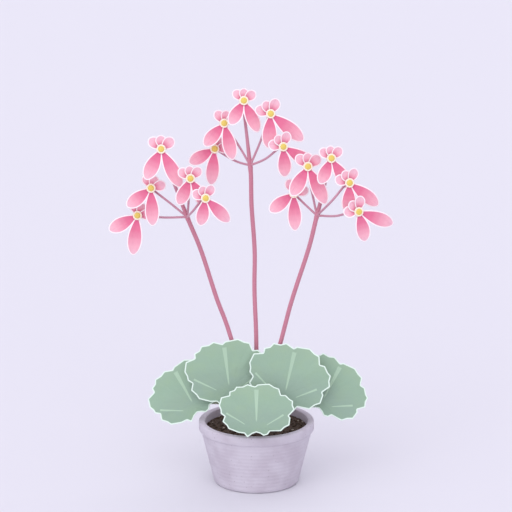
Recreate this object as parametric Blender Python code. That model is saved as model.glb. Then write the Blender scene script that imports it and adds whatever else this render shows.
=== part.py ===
"""Potted saxifrage: five scalloped leaves and three forked flower stalks, each with five
flowers of two long and three short petals, growing from one crown in a plain tapered pot.

Metres and degrees, +Z up. The origin is the middle of the pot's base, and the plant's
leaves and flowers look towards -Y.
"""

import math
from dataclasses import dataclass

import bmesh
import bpy
from mathutils import Matrix, Vector
from mathutils.geometry import interpolate_bezier

# Clearance between pieces that touch
GAP = 0.0003

# Pot: a low tapered pan with a plain lip and three drain holes round its middle
POT_HEIGHT = 0.042
POT_RIM_RADIUS = 0.038
POT_BASE_RADIUS = 0.028
POT_WALL = 0.003
POT_FLOOR = 0.004
LIP_HEIGHT = 0.006
LIP_PROUD = 0.0012
POT_EDGE = 0.0008
POT_SIDES = 36
DRAIN_RADIUS = 0.003
DRAIN_CIRCLE = 0.015
DRAIN_HOLES = 3
DRAIN_SIDES = 12

# How far a cutter stands past the faces that it cuts through
CUT_PAST = 0.001

# Potting soil and the crown, which sits in a pit in it
SOIL_TOP = 0.037
SOIL_MOUND = 0.0015
SOIL_EDGE = 0.002
SOIL_EDGE_DROP = 0.0005
PIT_EDGE = 0.001
CROWN_RADIUS = 0.0115
CROWN_DEPTH = 0.006
CROWN_TOP = 0.0455
CROWN_EDGE = 0.001
CROWN_SIDES = 20
CROWN_HOLE_SIDES = 8
FOOT_Z = 0.036

# The crown's domed top, as shares of its radius and drops below its top
CROWN_DOME = ((0.93, 0.003), (0.72, 0.001), (0.4, 0.0))

# Leaf blades
BLADE_THICKNESS = 0.0008
HUB_RISE = 0.0096
BLADE_DISH = 0.0012
BLADE_WAVE = 0.0005
BLADE_WAVES = 5
BLADE_RING = 0.62
LEAF_STALK_RADIUS = 0.0011
LEAF_STALK_NECK = 0.002

# Corners of a blade's scalloped edge, clockwise from its tip: the turn about the blade's
# middle in degrees, and the reach as a share of the blade's half width and half length.
# The notch at the foot lies between the lobes at 169 and 193 degrees.
BLADE_OUTLINE = (
    (1, 0.97), (18, 1.06), (27, 1.01), (35, 1.03), (47, 0.88), (52, 0.97), (64, 0.97), (70, 1.02),
    (79, 0.97), (89, 1.00), (103, 0.87), (107, 0.93), (122, 1.02), (131, 0.98), (141, 1.02),
    (156, 0.88), (162, 0.97), (169, 0.98), (173, 0.88), (180, 0.82), (187, 0.88), (193, 1.04),
    (200, 0.93), (209, 0.98), (225, 1.03), (233, 0.98), (244, 0.99), (255, 0.87), (263, 0.95),
    (271, 0.95), (279, 1.01), (296, 1.05), (307, 0.91), (314, 1.01), (322, 0.98), (329, 1.06),
    (338, 0.99), (346, 1.03), (357, 0.90),
)

# Petals: the half width is a sine over the length, skewed towards the petal's tip
PETAL_THICKNESS = 0.0007
PETAL_COLUMNS = 2
PETAL_SKEW = 1.4
PETAL_BLUNTNESS = 0.52
PETAL_START = 0.06
PETAL_END = 0.95
PETAL_TIP = 0.068
PETAL_CUP = 0.0004
PETAL_SEAT = -0.0006

# Flower: the eye stands on the hub that joins the petals, and the calyx is behind it
HUB_RADIUS = 0.0023
HUB_TAPER = 0.8
HUB_FRONT = 0.0005
HUB_BACK = -0.0015
EYE_RING_RADIUS = 0.00305
EYE_DISC_RADIUS = 0.002
EYE_RING_HEIGHT = 0.0006
EYE_DISC_HEIGHT = 0.0013
EYE_DOME = (0.8, 0.85)
EYE_SIDES = 10
CALYX_TIP_RADIUS = 0.0036
CALYX_NOTCH_RADIUS = 0.0017
CALYX_BACK_RADIUS = 0.0011
CALYX_HEIGHT = 0.0014
CALYX_SINK = 0.8
CALYX_SIDES = 10

# Flower stalks
STALK_RADIUS = 0.00145
PEDICEL_RADIUS = 0.00075
PEDICEL_SINK = 0.7

# Straight up, the way every stalk leaves the crown
UP = (0.0, 0.0, 1.0)


@dataclass(frozen=True)
class Petal:
    """One petal: its aim clockwise from the flower's top, and its shape.

    The growth is the power of the flower's size that the petal's length follows.
    """

    aim: float
    length: float
    half_width: float
    rows: int
    arch: float
    recurve: float
    twist: float
    growth: float


PETALS = (
    Petal(-49, 0.0101, 0.0038, rows=3, arch=0.0004, recurve=-0.0008, twist=14, growth=0.5),
    Petal(-3, 0.0088, 0.0036, rows=3, arch=0.0004, recurve=-0.0010, twist=14, growth=0.5),
    Petal(49, 0.0103, 0.0039, rows=3, arch=0.0004, recurve=-0.0008, twist=14, growth=0.5),
    Petal(153, 0.0254, 0.0048, rows=4, arch=0.0010, recurve=0.0016, twist=0, growth=1.0),
    Petal(208, 0.0203, 0.0048, rows=4, arch=0.0008, recurve=0.0012, twist=0, growth=1.0),
)


@dataclass(frozen=True)
class Bloom:
    """One flower of a head.

    The place is measured from the fork of the stalk, as is the point that the flower's own
    stem bends through. The roll is clockwise as seen from the front, the turn is towards +X,
    the lift is how far it looks up, and the size is a share of the long petals' usual length.
    Smaller flowers have narrower petals too, but by less.
    """

    place: tuple[float, float, float]
    bend: tuple[float, float, float]
    roll: float
    turn: float
    lift: float
    size: float


@dataclass(frozen=True)
class Head:
    """One flower stalk: its foot, the points it bends through, its fork and its flowers."""

    name: str
    foot: tuple[float, float, float]
    bends: tuple[tuple[float, float, float], ...]
    fork: tuple[float, float, float]
    leader: int
    blooms: tuple[Bloom, ...]


HEADS = (
    Head(
        name="left",
        foot=(-0.0035, 0.002, FOOT_Z),
        bends=((-0.0173, 0.0092, 0.097), (-0.0262, 0.009, 0.1228), (-0.0362, 0.007, 0.1556)),
        fork=(-0.045, 0.005, 0.1785),
        leader=0,
        blooms=(
            Bloom((-0.0163, -0.006, 0.0465), (-0.007, -0.001, 0.019), roll=0, turn=3, lift=16, size=1.08),
            Bloom((-0.0234, 0.001, 0.0190), (-0.010, 0.005, 0.0071), roll=25, turn=4, lift=13, size=0.97),
            Bloom((-0.0326, 0.007, -0.0007), (-0.016, 0.009, -0.0026), roll=34, turn=2, lift=9, size=1.04),
            Bloom((0.0025, -0.014, 0.0290), (0.001, -0.003, 0.010), roll=-3, turn=8, lift=10, size=0.92),
            Bloom((0.0123, -0.024, 0.0185), (0.004, -0.0185, 0.0084), roll=-17, turn=12, lift=8, size=0.9),
        ),
    ),
    Head(
        name="centre",
        foot=(0.0, 0.0055, FOOT_Z),
        bends=(
            (-0.0001, 0.0115, 0.092),
            (-0.0013, 0.0142, 0.1265),
            (-0.0012, 0.0161, 0.1533),
            (-0.0032, 0.0183, 0.1828),
        ),
        fork=(-0.0041, 0.020, 0.2094),
        leader=2,
        blooms=(
            Bloom((-0.0232, 0.009, 0.0090), (-0.010, 0.009, 0.001), roll=33, turn=2, lift=11, size=0.95),
            Bloom((-0.0169, 0.003, 0.0274), (-0.0073, 0.004, 0.012), roll=14, turn=3, lift=14, size=0.965),
            Bloom((-0.0041, -0.004, 0.0438), (-0.002, 0.001, 0.018), roll=3, turn=5, lift=18, size=0.88),
            Bloom((0.0131, -0.012, 0.0369), (0.0068, -0.003, 0.017), roll=-23, turn=9, lift=14, size=1.1),
            Bloom((0.0212, -0.020, 0.0170), (0.010, -0.007, 0.006), roll=-30.5, turn=12, lift=10, size=0.98),
        ),
    ),
    Head(
        name="right",
        foot=(0.0035, 0.002, FOOT_Z),
        bends=((0.0162, 0.005, 0.0948), (0.0232, 0.0018, 0.1234), (0.0338, -0.0023, 0.159)),
        fork=(0.0391, -0.003, 0.1815),
        leader=2,
        blooms=(
            Bloom((-0.0150, 0.004, 0.0138), (-0.007, 0.005, 0.0055), roll=25, turn=2, lift=11, size=0.97),
            Bloom((-0.0062, -0.006, 0.0339), (-0.003, 0.001, 0.014), roll=2, turn=6, lift=13, size=1.06),
            Bloom((0.0086, -0.013, 0.0409), (0.0045, 0.0005, 0.018), roll=-3, turn=8, lift=14, size=0.88),
            Bloom((0.0200, -0.022, 0.0270), (0.009, -0.016, 0.0135), roll=-24, turn=11, lift=10, size=0.97),
            Bloom((0.0257, -0.030, 0.0101), (0.012, -0.015, 0.0035), roll=-41, turn=14, lift=7, size=1.0),
        ),
    ),
)


@dataclass(frozen=True)
class Leaf:
    """One leaf: where its stalk meets the blade, how the blade is held, and its size.

    The bow lifts the middle of the leaf's stalk off a straight line.
    """

    name: str
    hub: tuple[float, float, float]
    lean: float
    facing_up: float
    turn: float
    half_width: float
    half_length: float
    foot: tuple[float, float, float]
    bow: tuple[float, float, float]


LEAVES = (
    Leaf(
        name="front",
        hub=(0.0, -0.0420, 0.0519),
        lean=0.5,
        facing_up=53,
        turn=0,
        half_width=0.0246,
        half_length=0.0206,
        foot=(0.0, -0.0065, FOOT_Z),
        bow=(0.0, 0.001, 0.002),
    ),
    Leaf(
        name="back_left",
        hub=(-0.0177, -0.0055, 0.0642),
        lean=-7,
        facing_up=20,
        turn=-2,
        half_width=0.0282,
        half_length=0.021,
        foot=(-0.0065, -0.0035, FOOT_Z),
        bow=(-0.001, 0.002, 0.0),
    ),
    Leaf(
        name="back_right",
        hub=(0.0184, -0.0116, 0.0622),
        lean=15.5,
        facing_up=20,
        turn=6,
        half_width=0.0278,
        half_length=0.0216,
        foot=(0.0065, -0.0035, FOOT_Z),
        bow=(0.001, 0.002, 0.0),
    ),
    Leaf(
        name="side_left",
        hub=(-0.0415, -0.0021, 0.0529),
        lean=-34,
        facing_up=22,
        turn=-14,
        half_width=0.0267,
        half_length=0.0193,
        foot=(-0.0085, 0.0015, FOOT_Z),
        bow=(0.0, 0.003, 0.0035),
    ),
    Leaf(
        name="side_right",
        hub=(0.0435, -0.0031, 0.0561),
        lean=34,
        facing_up=22,
        turn=14,
        half_width=0.0273,
        half_length=0.0194,
        foot=(0.0085, 0.0015, FOOT_Z),
        bow=(0.0, 0.003, 0.0005),
    ),
)


@dataclass(frozen=True)
class Look:
    """The surface of a kind of piece."""

    name: str
    colour: tuple[float, float, float]
    roughness: float


STONEWARE = Look("pale_stoneware", (0.70, 0.67, 0.74), 0.75)
SOIL = Look("potting_soil", (0.06, 0.045, 0.04), 0.95)
CROWN = Look("crown_bark", (0.26, 0.13, 0.12), 0.85)
LEAF_GREEN = Look("sage_leaf", (0.33, 0.49, 0.38), 0.6)
ROSY_STEM = Look("rosy_stem", (0.58, 0.23, 0.33), 0.55)
PETAL_PINK = Look("pink_petal", (0.87, 0.32, 0.48), 0.5)
EYE_YELLOW = Look("yellow_eye", (0.88, 0.68, 0.15), 0.5)


def clear_scene():
    """Removes every object, so that the file holds only the plant."""
    for old in list(bpy.data.objects):
        bpy.data.objects.remove(old, do_unlink=True)


def material(look):
    """Gives the one Principled material of a look, and makes it when first asked for."""
    found = bpy.data.materials.get(look.name)
    if found:
        return found
    made = bpy.data.materials.new(look.name)
    made.use_nodes = True
    surface = made.node_tree.nodes["Principled BSDF"]
    surface.inputs["Base Color"].default_value = (*look.colour, 1.0)
    surface.inputs["Roughness"].default_value = look.roughness
    surface.inputs["Metallic"].default_value = 0.0
    made.diffuse_color = (*look.colour, 1.0)
    return made


def add_object(name, mesh_data, look, pose=None):
    """Links a mesh into the scene as an object of the given name, look and pose."""
    piece = bpy.data.objects.new(name, mesh_data)
    bpy.context.scene.collection.objects.link(piece)
    mesh_data.materials.clear()
    mesh_data.materials.append(material(look))
    if pose is not None:
        piece.matrix_world = pose
    return piece


def mesh_of(name, shape):
    """Turns a bmesh into mesh data with its faces pointing out, and frees it."""
    bmesh.ops.recalc_face_normals(shape, faces=shape.faces[:])
    data = bpy.data.meshes.new(name)
    shape.to_mesh(data)
    shape.free()
    return data


def evaluated_mesh(piece):
    """Gives the mesh of an object with its modifiers or its curve bevel applied."""
    bpy.context.view_layer.update()
    graph = bpy.context.evaluated_depsgraph_get()
    return bpy.data.meshes.new_from_object(piece.evaluated_get(graph))


def combine(piece, others, operation):
    """Unites an object with solids that run into it, or cuts them out of it."""
    group = bpy.data.collections.new("operands")
    bpy.context.scene.collection.children.link(group)
    for other in others:
        bpy.context.scene.collection.objects.unlink(other)
        group.objects.link(other)
    cut = piece.modifiers.new("combine", "BOOLEAN")
    cut.operation = operation
    cut.operand_type = "COLLECTION"
    cut.collection = group
    cut.solver = "EXACT"
    result = evaluated_mesh(piece)
    piece.modifiers.clear()
    piece.data = result
    for other in others:
        bpy.data.objects.remove(other, do_unlink=True)
    bpy.data.collections.remove(group)


def smooth_path(knots, leave, arrive, steps):
    """Gives points along a smooth curve through the knots, between two end directions."""
    slopes = [Vector(leave).normalized() * (knots[1] - knots[0]).length]
    slopes += [(after - before) / 2 for before, after in zip(knots, knots[2:])]
    slopes.append(Vector(arrive).normalized() * (knots[-1] - knots[-2]).length)
    points = []
    for index in range(len(knots) - 1):
        start, end = knots[index], knots[index + 1]
        handles = (start + slopes[index] / 3, end - slopes[index + 1] / 3)
        points += interpolate_bezier(start, *handles, end, steps + 1)[:-1]
    points.append(knots[-1])
    return points


def tube(name, points, radii, sides, look):
    """Makes a round stem along a row of points, closed at both ends.

    The radii are the stem's radius at its start and its end.
    """
    path = bpy.data.curves.new(name, "CURVE")
    path.dimensions = "3D"
    path.bevel_depth = 1.0
    path.bevel_resolution = (sides - 4) // 2
    path.use_fill_caps = True
    spline = path.splines.new("POLY")
    spline.points.add(len(points) - 1)
    last = len(points) - 1
    for index, point in enumerate(points):
        spline.points[index].co = (*point, 1.0)
        spline.points[index].radius = radii[0] + (radii[1] - radii[0]) * index / last
    guide = bpy.data.objects.new(name, path)
    bpy.context.scene.collection.objects.link(guide)
    skin = bmesh.new()
    skin.from_mesh(evaluated_mesh(guide))
    bmesh.ops.remove_doubles(skin, verts=skin.verts[:], dist=1e-6)
    bpy.data.objects.remove(guide, do_unlink=True)
    return add_object(name, mesh_of(name, skin), look)


def turned(name, profile, sides, look):
    """Turns a profile, from its lowest point on the axis to its last, about the Z axis."""
    shape = bmesh.new()
    points = [shape.verts.new((radius, 0.0, height)) for radius, height in profile]
    edges = [shape.edges.new(pair) for pair in zip(points, points[1:])]
    bmesh.ops.spin(
        shape,
        geom=points + edges,
        axis=(0, 0, 1),
        cent=(0, 0, 0),
        angle=math.tau,
        steps=sides,
        use_merge=True,
    )
    bmesh.ops.remove_doubles(shape, verts=shape.verts[:], dist=1e-6)
    piece = add_object(name, mesh_of(name, shape), look)
    piece.data.shade_smooth()
    piece.data.set_sharp_from_angle(angle=math.radians(40))
    return piece


def upright_plug(place, radius, height, sides):
    """Makes an upright cylinder for cutting a hole, from a place on its lower end up."""
    shape = bmesh.new()
    bmesh.ops.create_cone(
        shape,
        cap_ends=True,
        segments=sides,
        radius1=radius,
        radius2=radius,
        depth=height,
        matrix=Matrix.Translation(Vector(place) + Vector((0, 0, height / 2))),
    )
    return add_object("plug", mesh_of("plug", shape), SOIL)


def thicken(sheet, thickness):
    """Turns an open sheet into a closed blade, cut into the same triangles on both faces."""
    bmesh.ops.triangulate(sheet, faces=sheet.faces[:])
    grown = bmesh.ops.extrude_face_region(sheet, geom=sheet.faces[:])
    back = [item for item in grown["geom"] if isinstance(item, bmesh.types.BMVert)]
    bmesh.ops.translate(sheet, verts=back, vec=(0, 0, -thickness))


def wall_radius(height):
    """Gives the outer radius of the pot's wall at a height."""
    rise = height / (POT_HEIGHT - LIP_HEIGHT)
    return POT_BASE_RADIUS + (POT_RIM_RADIUS - LIP_PROUD - POT_BASE_RADIUS) * rise


def build_pot():
    """Turns the pot and cuts its drain holes, which leave the middle of the base whole."""
    lip_foot = POT_HEIGHT - LIP_HEIGHT
    inside = POT_RIM_RADIUS - LIP_PROUD - POT_WALL
    pot = turned(
        "pot",
        (
            (0.0, 0.0),
            (POT_BASE_RADIUS - POT_EDGE, 0.0),
            (wall_radius(POT_EDGE), POT_EDGE),
            (wall_radius(lip_foot - LIP_PROUD), lip_foot - LIP_PROUD),
            (POT_RIM_RADIUS, lip_foot),
            (POT_RIM_RADIUS, POT_HEIGHT - POT_EDGE),
            (POT_RIM_RADIUS - POT_EDGE, POT_HEIGHT),
            (inside + POT_EDGE, POT_HEIGHT),
            (inside, POT_HEIGHT - POT_EDGE),
            (inside, lip_foot),
            (wall_radius(POT_FLOOR) - POT_WALL, POT_FLOOR),
            (0.0, POT_FLOOR),
        ),
        POT_SIDES,
        STONEWARE,
    )
    plugs = []
    for hole in range(DRAIN_HOLES):
        angle = math.tau * hole / DRAIN_HOLES + math.pi / 2
        place = (DRAIN_CIRCLE * math.cos(angle), DRAIN_CIRCLE * math.sin(angle), -CUT_PAST)
        plugs.append(upright_plug(place, DRAIN_RADIUS, POT_FLOOR + 2 * CUT_PAST, DRAIN_SIDES))
    combine(pot, plugs, "DIFFERENCE")


def build_soil():
    """Turns the soil that fills the pot, slightly mounded, with a pit for the crown."""
    inside = POT_RIM_RADIUS - LIP_PROUD - POT_WALL - GAP
    floor = POT_FLOOR + GAP
    lip_foot = POT_HEIGHT - LIP_HEIGHT
    pit = CROWN_RADIUS + GAP
    turned(
        "soil",
        (
            (0.0, floor),
            (wall_radius(floor) - POT_WALL - GAP, floor),
            (inside, lip_foot),
            (inside, SOIL_TOP - SOIL_EDGE_DROP),
            (inside - SOIL_EDGE, SOIL_TOP),
            ((inside + pit) / 2, SOIL_TOP + SOIL_MOUND / 2),
            (pit + PIT_EDGE, SOIL_TOP + SOIL_MOUND),
            (pit, SOIL_TOP + SOIL_MOUND / 2),
            (pit, SOIL_TOP - CROWN_DEPTH - GAP),
            (0.0, SOIL_TOP - CROWN_DEPTH - GAP),
        ),
        POT_SIDES,
        SOIL,
    )


def build_crown():
    """Turns the crown and cuts one plain upright hole in it for each stalk's foot."""
    low = SOIL_TOP - CROWN_DEPTH
    crown = turned(
        "crown",
        (
            (0.0, low),
            (CROWN_RADIUS - CROWN_EDGE, low),
            (CROWN_RADIUS, low + CROWN_EDGE),
            (CROWN_RADIUS, SOIL_TOP + SOIL_MOUND),
            *((CROWN_RADIUS * share, CROWN_TOP - drop) for share, drop in CROWN_DOME),
            (0.0, CROWN_TOP),
        ),
        CROWN_SIDES,
        CROWN,
    )
    feet = [(leaf.foot, LEAF_STALK_RADIUS) for leaf in LEAVES]
    feet += [(head.foot, STALK_RADIUS) for head in HEADS]
    plugs = []
    for (across, back, height), radius in feet:
        place = (across, back, height - GAP)
        reach = CROWN_TOP - height + GAP + CUT_PAST
        plugs.append(upright_plug(place, radius + GAP, reach, CROWN_HOLE_SIDES))
    combine(crown, plugs, "DIFFERENCE")


def leaf_pose(leaf):
    """Gives the pose of a blade: its hub at the leaf's hub, its upper face held as given."""
    tip_up = Matrix.Rotation(math.radians(-leaf.lean), 4, "Z")
    lean_back = Matrix.Rotation(math.radians(90 - leaf.facing_up), 4, "X")
    turn = Matrix.Rotation(math.radians(leaf.turn), 4, "Z")
    return Matrix.Translation(leaf.hub) @ turn @ lean_back @ tip_up


def blade_edge(leaf, turn, reach):
    """Gives the place of one corner of a blade's edge, measured from its hub."""
    angle = math.radians(turn)
    across = leaf.half_width * reach * math.sin(angle)
    along = leaf.half_length * (1 + reach * math.cos(angle)) - HUB_RISE
    return Vector((across, along, 0))


def build_blade(leaf, seed):
    """Makes a leaf blade: a fan from its hub, with a ring of points halfway, slightly dished."""
    corners = len(BLADE_OUTLINE)
    sheet = bmesh.new()
    bmesh.ops.create_circle(sheet, cap_ends=True, cap_tris=True, segments=corners, radius=1.0)
    middle = min(sheet.verts, key=lambda vert: vert.co.length)
    bmesh.ops.subdivide_edges(sheet, edges=middle.link_edges[:], cuts=1)
    for vert in sheet.verts:
        radius = vert.co.length
        if radius < 0.1:
            continue
        share = 1.0 if radius > 0.9 else BLADE_RING
        corner = round(math.atan2(vert.co.x, vert.co.y) / math.tau * corners) % corners
        turn, reach = BLADE_OUTLINE[corner]
        wave = BLADE_WAVE * math.sin(math.radians(turn) * BLADE_WAVES + seed)
        vert.co = blade_edge(leaf, turn, reach) * share
        vert.co.z = share ** 2 * (BLADE_DISH + wave)
    thicken(sheet, BLADE_THICKNESS)
    name = f"leaf_{leaf.name}"
    add_object(name, mesh_of(name, sheet), LEAF_GREEN, leaf_pose(leaf))


def build_leaf_stalk(leaf):
    """Makes a leaf's stalk, from the crown to the back of the blade, which it meets squarely."""
    pose = leaf_pose(leaf)
    outward = pose.to_3x3() @ Vector((0, 0, 1))
    foot = Vector(leaf.foot)
    collar = Vector((foot.x, foot.y, CROWN_TOP))
    seat = pose @ Vector((0, 0, -BLADE_THICKNESS - GAP))
    neck = seat - outward * LEAF_STALK_NECK
    knots = (collar, collar.lerp(neck, 0.5) + Vector(leaf.bow), neck)
    points = [foot, *smooth_path(knots, UP, outward, 3), seat]
    name = f"leaf_stalk_{leaf.name}"
    tube(name, points, (LEAF_STALK_RADIUS, LEAF_STALK_RADIUS), 6, ROSY_STEM)


def bloom_pose(head, bloom):
    """Gives the pose of a flower: its front towards -Y and up, rolled and turned as given."""
    roll = Matrix.Rotation(math.radians(-bloom.roll), 4, "Z")
    look_up = Matrix.Rotation(math.radians(90 - bloom.lift), 4, "X")
    turn = Matrix.Rotation(math.radians(bloom.turn), 4, "Z")
    place = Vector(head.fork) + Vector(bloom.place)
    return Matrix.Translation(place) @ turn @ look_up @ roll


def build_petal(petal, size, pose):
    """Makes one petal, from inside the flower's hub to its blunt tip."""
    length = petal.length * size**petal.growth
    half_width = petal.half_width * math.sqrt(size)
    sheet = bmesh.new()
    bmesh.ops.create_grid(sheet, x_segments=PETAL_COLUMNS, y_segments=petal.rows, size=1.0)
    twist = Matrix.Rotation(math.radians(petal.twist), 3, "Y")
    aim = Matrix.Rotation(math.radians(-petal.aim), 3, "Z")
    for vert in sheet.verts:
        side = vert.co.x
        along = PETAL_START + (PETAL_END - PETAL_START) * (vert.co.y + 1) / 2
        width = half_width * math.sin(math.pi * along ** PETAL_SKEW) ** PETAL_BLUNTNESS
        reach = length * (along + PETAL_TIP * (1 - side ** 2) * along ** 6)
        height = 4 * petal.arch * along * (1 - along) - petal.recurve * along ** 3
        height += PETAL_CUP * side ** 2 * math.sin(math.pi * along)
        vert.co = aim @ (twist @ Vector((width * side, 0, height)) + Vector((0, reach, PETAL_SEAT)))
    thicken(sheet, PETAL_THICKNESS)
    return add_object("petal", mesh_of("petal", sheet), PETAL_PINK, pose)


def build_corolla(head, bloom, number):
    """Makes a flower's five petals, fused into the small hub that their claws share."""
    pose = bloom_pose(head, bloom)
    shape = bmesh.new()
    bmesh.ops.create_cone(
        shape,
        cap_ends=True,
        segments=8,
        radius1=HUB_RADIUS * HUB_TAPER,
        radius2=HUB_RADIUS,
        depth=HUB_FRONT - HUB_BACK,
        matrix=Matrix.Translation((0, 0, (HUB_FRONT + HUB_BACK) / 2)),
    )
    name = f"petals_{head.name}_{number}"
    hub = add_object(name, mesh_of(name, shape), PETAL_PINK, pose)
    combine(hub, [build_petal(petal, bloom.size, pose) for petal in PETALS], "UNION")


def build_eye(head, bloom, number):
    """Makes a flower's eye: a low domed disc with a flat ring round it."""
    back = HUB_FRONT + GAP
    ring_top = back + EYE_RING_HEIGHT
    shoulder, shoulder_rise = EYE_DOME
    name = f"eye_{head.name}_{number}"
    eye = turned(
        name,
        (
            (0.0, back),
            (EYE_RING_RADIUS, back),
            (EYE_RING_RADIUS, ring_top),
            (EYE_DISC_RADIUS, ring_top),
            (EYE_DISC_RADIUS * shoulder, back + EYE_DISC_HEIGHT * shoulder_rise),
            (0.0, back + EYE_DISC_HEIGHT),
        ),
        EYE_SIDES,
        EYE_YELLOW,
    )
    eye.matrix_world = bloom_pose(head, bloom)


def build_calyx(pose):
    """Makes a flower's calyx, a shallow star of five sepals with its points to the front."""
    front = HUB_BACK - GAP
    shape = bmesh.new()
    bmesh.ops.create_cone(
        shape,
        cap_ends=True,
        segments=CALYX_SIDES,
        radius1=CALYX_BACK_RADIUS,
        radius2=CALYX_NOTCH_RADIUS,
        depth=CALYX_HEIGHT,
        matrix=Matrix.Translation((0, 0, front - CALYX_HEIGHT / 2)),
    )
    stretch = CALYX_TIP_RADIUS / CALYX_NOTCH_RADIUS
    for vert in shape.verts:
        corner = round(math.atan2(vert.co.x, vert.co.y) / math.tau * CALYX_SIDES)
        if vert.co.z > front - CALYX_HEIGHT / 2 and corner % 2 == 0:
            vert.co.x *= stretch
            vert.co.y *= stretch
    return add_object("calyx", mesh_of("calyx", shape), ROSY_STEM, pose)


def build_pedicel(head, bloom, leads):
    """Makes a flower's own stem, from inside the stalk at the fork to inside the calyx.

    The flower that leads the head is carried by the stalk's own tapered end.
    """
    pose = bloom_pose(head, bloom)
    fork = Vector(head.fork)
    front = pose.to_3x3() @ Vector((0, 0, 1))
    seat = pose @ Vector((0, 0, HUB_BACK - GAP - CALYX_HEIGHT * CALYX_SINK))
    thick = STALK_RADIUS if leads else PEDICEL_RADIUS
    root = fork - Vector(bloom.bend).normalized() * thick * PEDICEL_SINK
    knots = (root, fork + Vector(bloom.bend), seat)
    points = smooth_path(knots, bloom.bend, front, 3)
    return tube("pedicel", points, (thick, PEDICEL_RADIUS), 6, ROSY_STEM)


def build_flower_stalk(head):
    """Makes a flower stalk with its five branches and the calyx at the end of each."""
    foot = Vector(head.foot)
    collar = Vector((foot.x, foot.y, CROWN_TOP))
    fork = Vector(head.fork)
    knots = (collar, *(Vector(bend) for bend in head.bends), fork)
    leading = Vector(head.blooms[head.leader].bend)
    points = [foot, *smooth_path(knots, UP, leading, 4)]
    name = f"flower_stalk_{head.name}"
    stalk = tube(name, points, (STALK_RADIUS, STALK_RADIUS), 8, ROSY_STEM)
    branches = []
    for number, bloom in enumerate(head.blooms):
        branches.append(build_pedicel(head, bloom, leads=number == head.leader))
        branches.append(build_calyx(bloom_pose(head, bloom)))
    combine(stalk, branches, "UNION")


def main():
    """Builds the pot first, then the plant from its crown to its flowers."""
    clear_scene()
    build_pot()
    build_soil()
    build_crown()
    for seed, leaf in enumerate(LEAVES, start=1):
        build_blade(leaf, seed)
        build_leaf_stalk(leaf)
    for head in HEADS:
        build_flower_stalk(head)
        for number, bloom in enumerate(head.blooms, start=1):
            build_corolla(head, bloom, number)
            build_eye(head, bloom, number)


main()
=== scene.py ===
"""Dresses the potted saxifrage for its picture.

Fine leaves, stalks and flowers stand in for their plain solids, and so do the pot, its soil
and the rootstock. Lengths are in metres and angles in degrees unless a name says otherwise.
The frame is the model's own: +Z up, the pot's base on the origin, the flowers towards -Y.
"""

import logging
import math
import random
from dataclasses import dataclass, field
from enum import Enum
from typing import Callable, Iterable, Optional, Sequence

import bmesh
import bpy
import numpy as np
from mathutils import Matrix, Vector, noise
from mathutils.geometry import interpolate_bezier

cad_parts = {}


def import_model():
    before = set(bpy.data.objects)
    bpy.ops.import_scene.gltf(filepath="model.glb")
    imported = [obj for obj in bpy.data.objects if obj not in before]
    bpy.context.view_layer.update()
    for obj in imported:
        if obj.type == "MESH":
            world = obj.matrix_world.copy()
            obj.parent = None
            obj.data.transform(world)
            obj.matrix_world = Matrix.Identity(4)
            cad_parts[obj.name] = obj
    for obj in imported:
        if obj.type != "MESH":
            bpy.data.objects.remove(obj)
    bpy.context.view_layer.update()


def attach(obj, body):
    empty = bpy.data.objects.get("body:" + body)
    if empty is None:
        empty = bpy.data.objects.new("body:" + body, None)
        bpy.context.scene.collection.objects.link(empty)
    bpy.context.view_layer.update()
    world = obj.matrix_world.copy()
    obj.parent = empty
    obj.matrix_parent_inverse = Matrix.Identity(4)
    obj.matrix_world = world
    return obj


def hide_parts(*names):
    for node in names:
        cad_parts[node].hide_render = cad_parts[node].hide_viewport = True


LOG = logging.getLogger("saxifrage")

UP = Vector((0.0, 0.0, 1.0))
MILLIMETRE = 0.001


class Slot(Enum):
    """The record's material slots."""

    POT = "pot"
    SOIL = "soil"
    CROWN = "crown"
    LEAF = "leaf"
    STEM = "stem"
    PETAL = "petal"
    EYE = "eye"


def linear(code: str) -> tuple[float, float, float, float]:
    """Turns an sRGB hex colour into a linear one.

    Args:
        code: Colour such as "#A0B0C0".

    Returns:
        Red, green, blue and an alpha of 1.
    """
    shares = [int(code[place : place + 2], 16) / 255 for place in (1, 3, 5)]
    red, green, blue = (
        share / 12.92 if share <= 0.04045 else ((share + 0.055) / 1.055) ** 2.4 for share in shares
    )
    return (red, green, blue, 1.0)


def add_node(
    tree: bpy.types.NodeTree,
    kind: str,
    settings: Optional[dict] = None,
    inputs: Optional[dict] = None,
) -> bpy.types.Node:
    """Adds a node with its settings and what feeds its sockets.

    Args:
        tree: Node tree that gets the node.
        kind: Type name of the node.
        settings: Values of the node's properties.
        inputs: A number, colour, node or socket for each named input. A node stands for the
            first of its outputs that is in use.

    Returns:
        The new node.
    """
    node = tree.nodes.new(kind)
    for name, value in (settings or {}).items():
        setattr(node, name, value)
    for name, value in (inputs or {}).items():
        key, _, number = name.partition(":")
        named = [socket for socket in node.inputs if socket.enabled and socket.name == key]
        target = named[int(number or 0)]
        if isinstance(value, bpy.types.Node):
            value = next(socket for socket in value.outputs if socket.enabled)
        if isinstance(value, bpy.types.NodeSocket):
            tree.links.new(value, target)
        else:
            target.default_value = value
    return node


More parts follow.
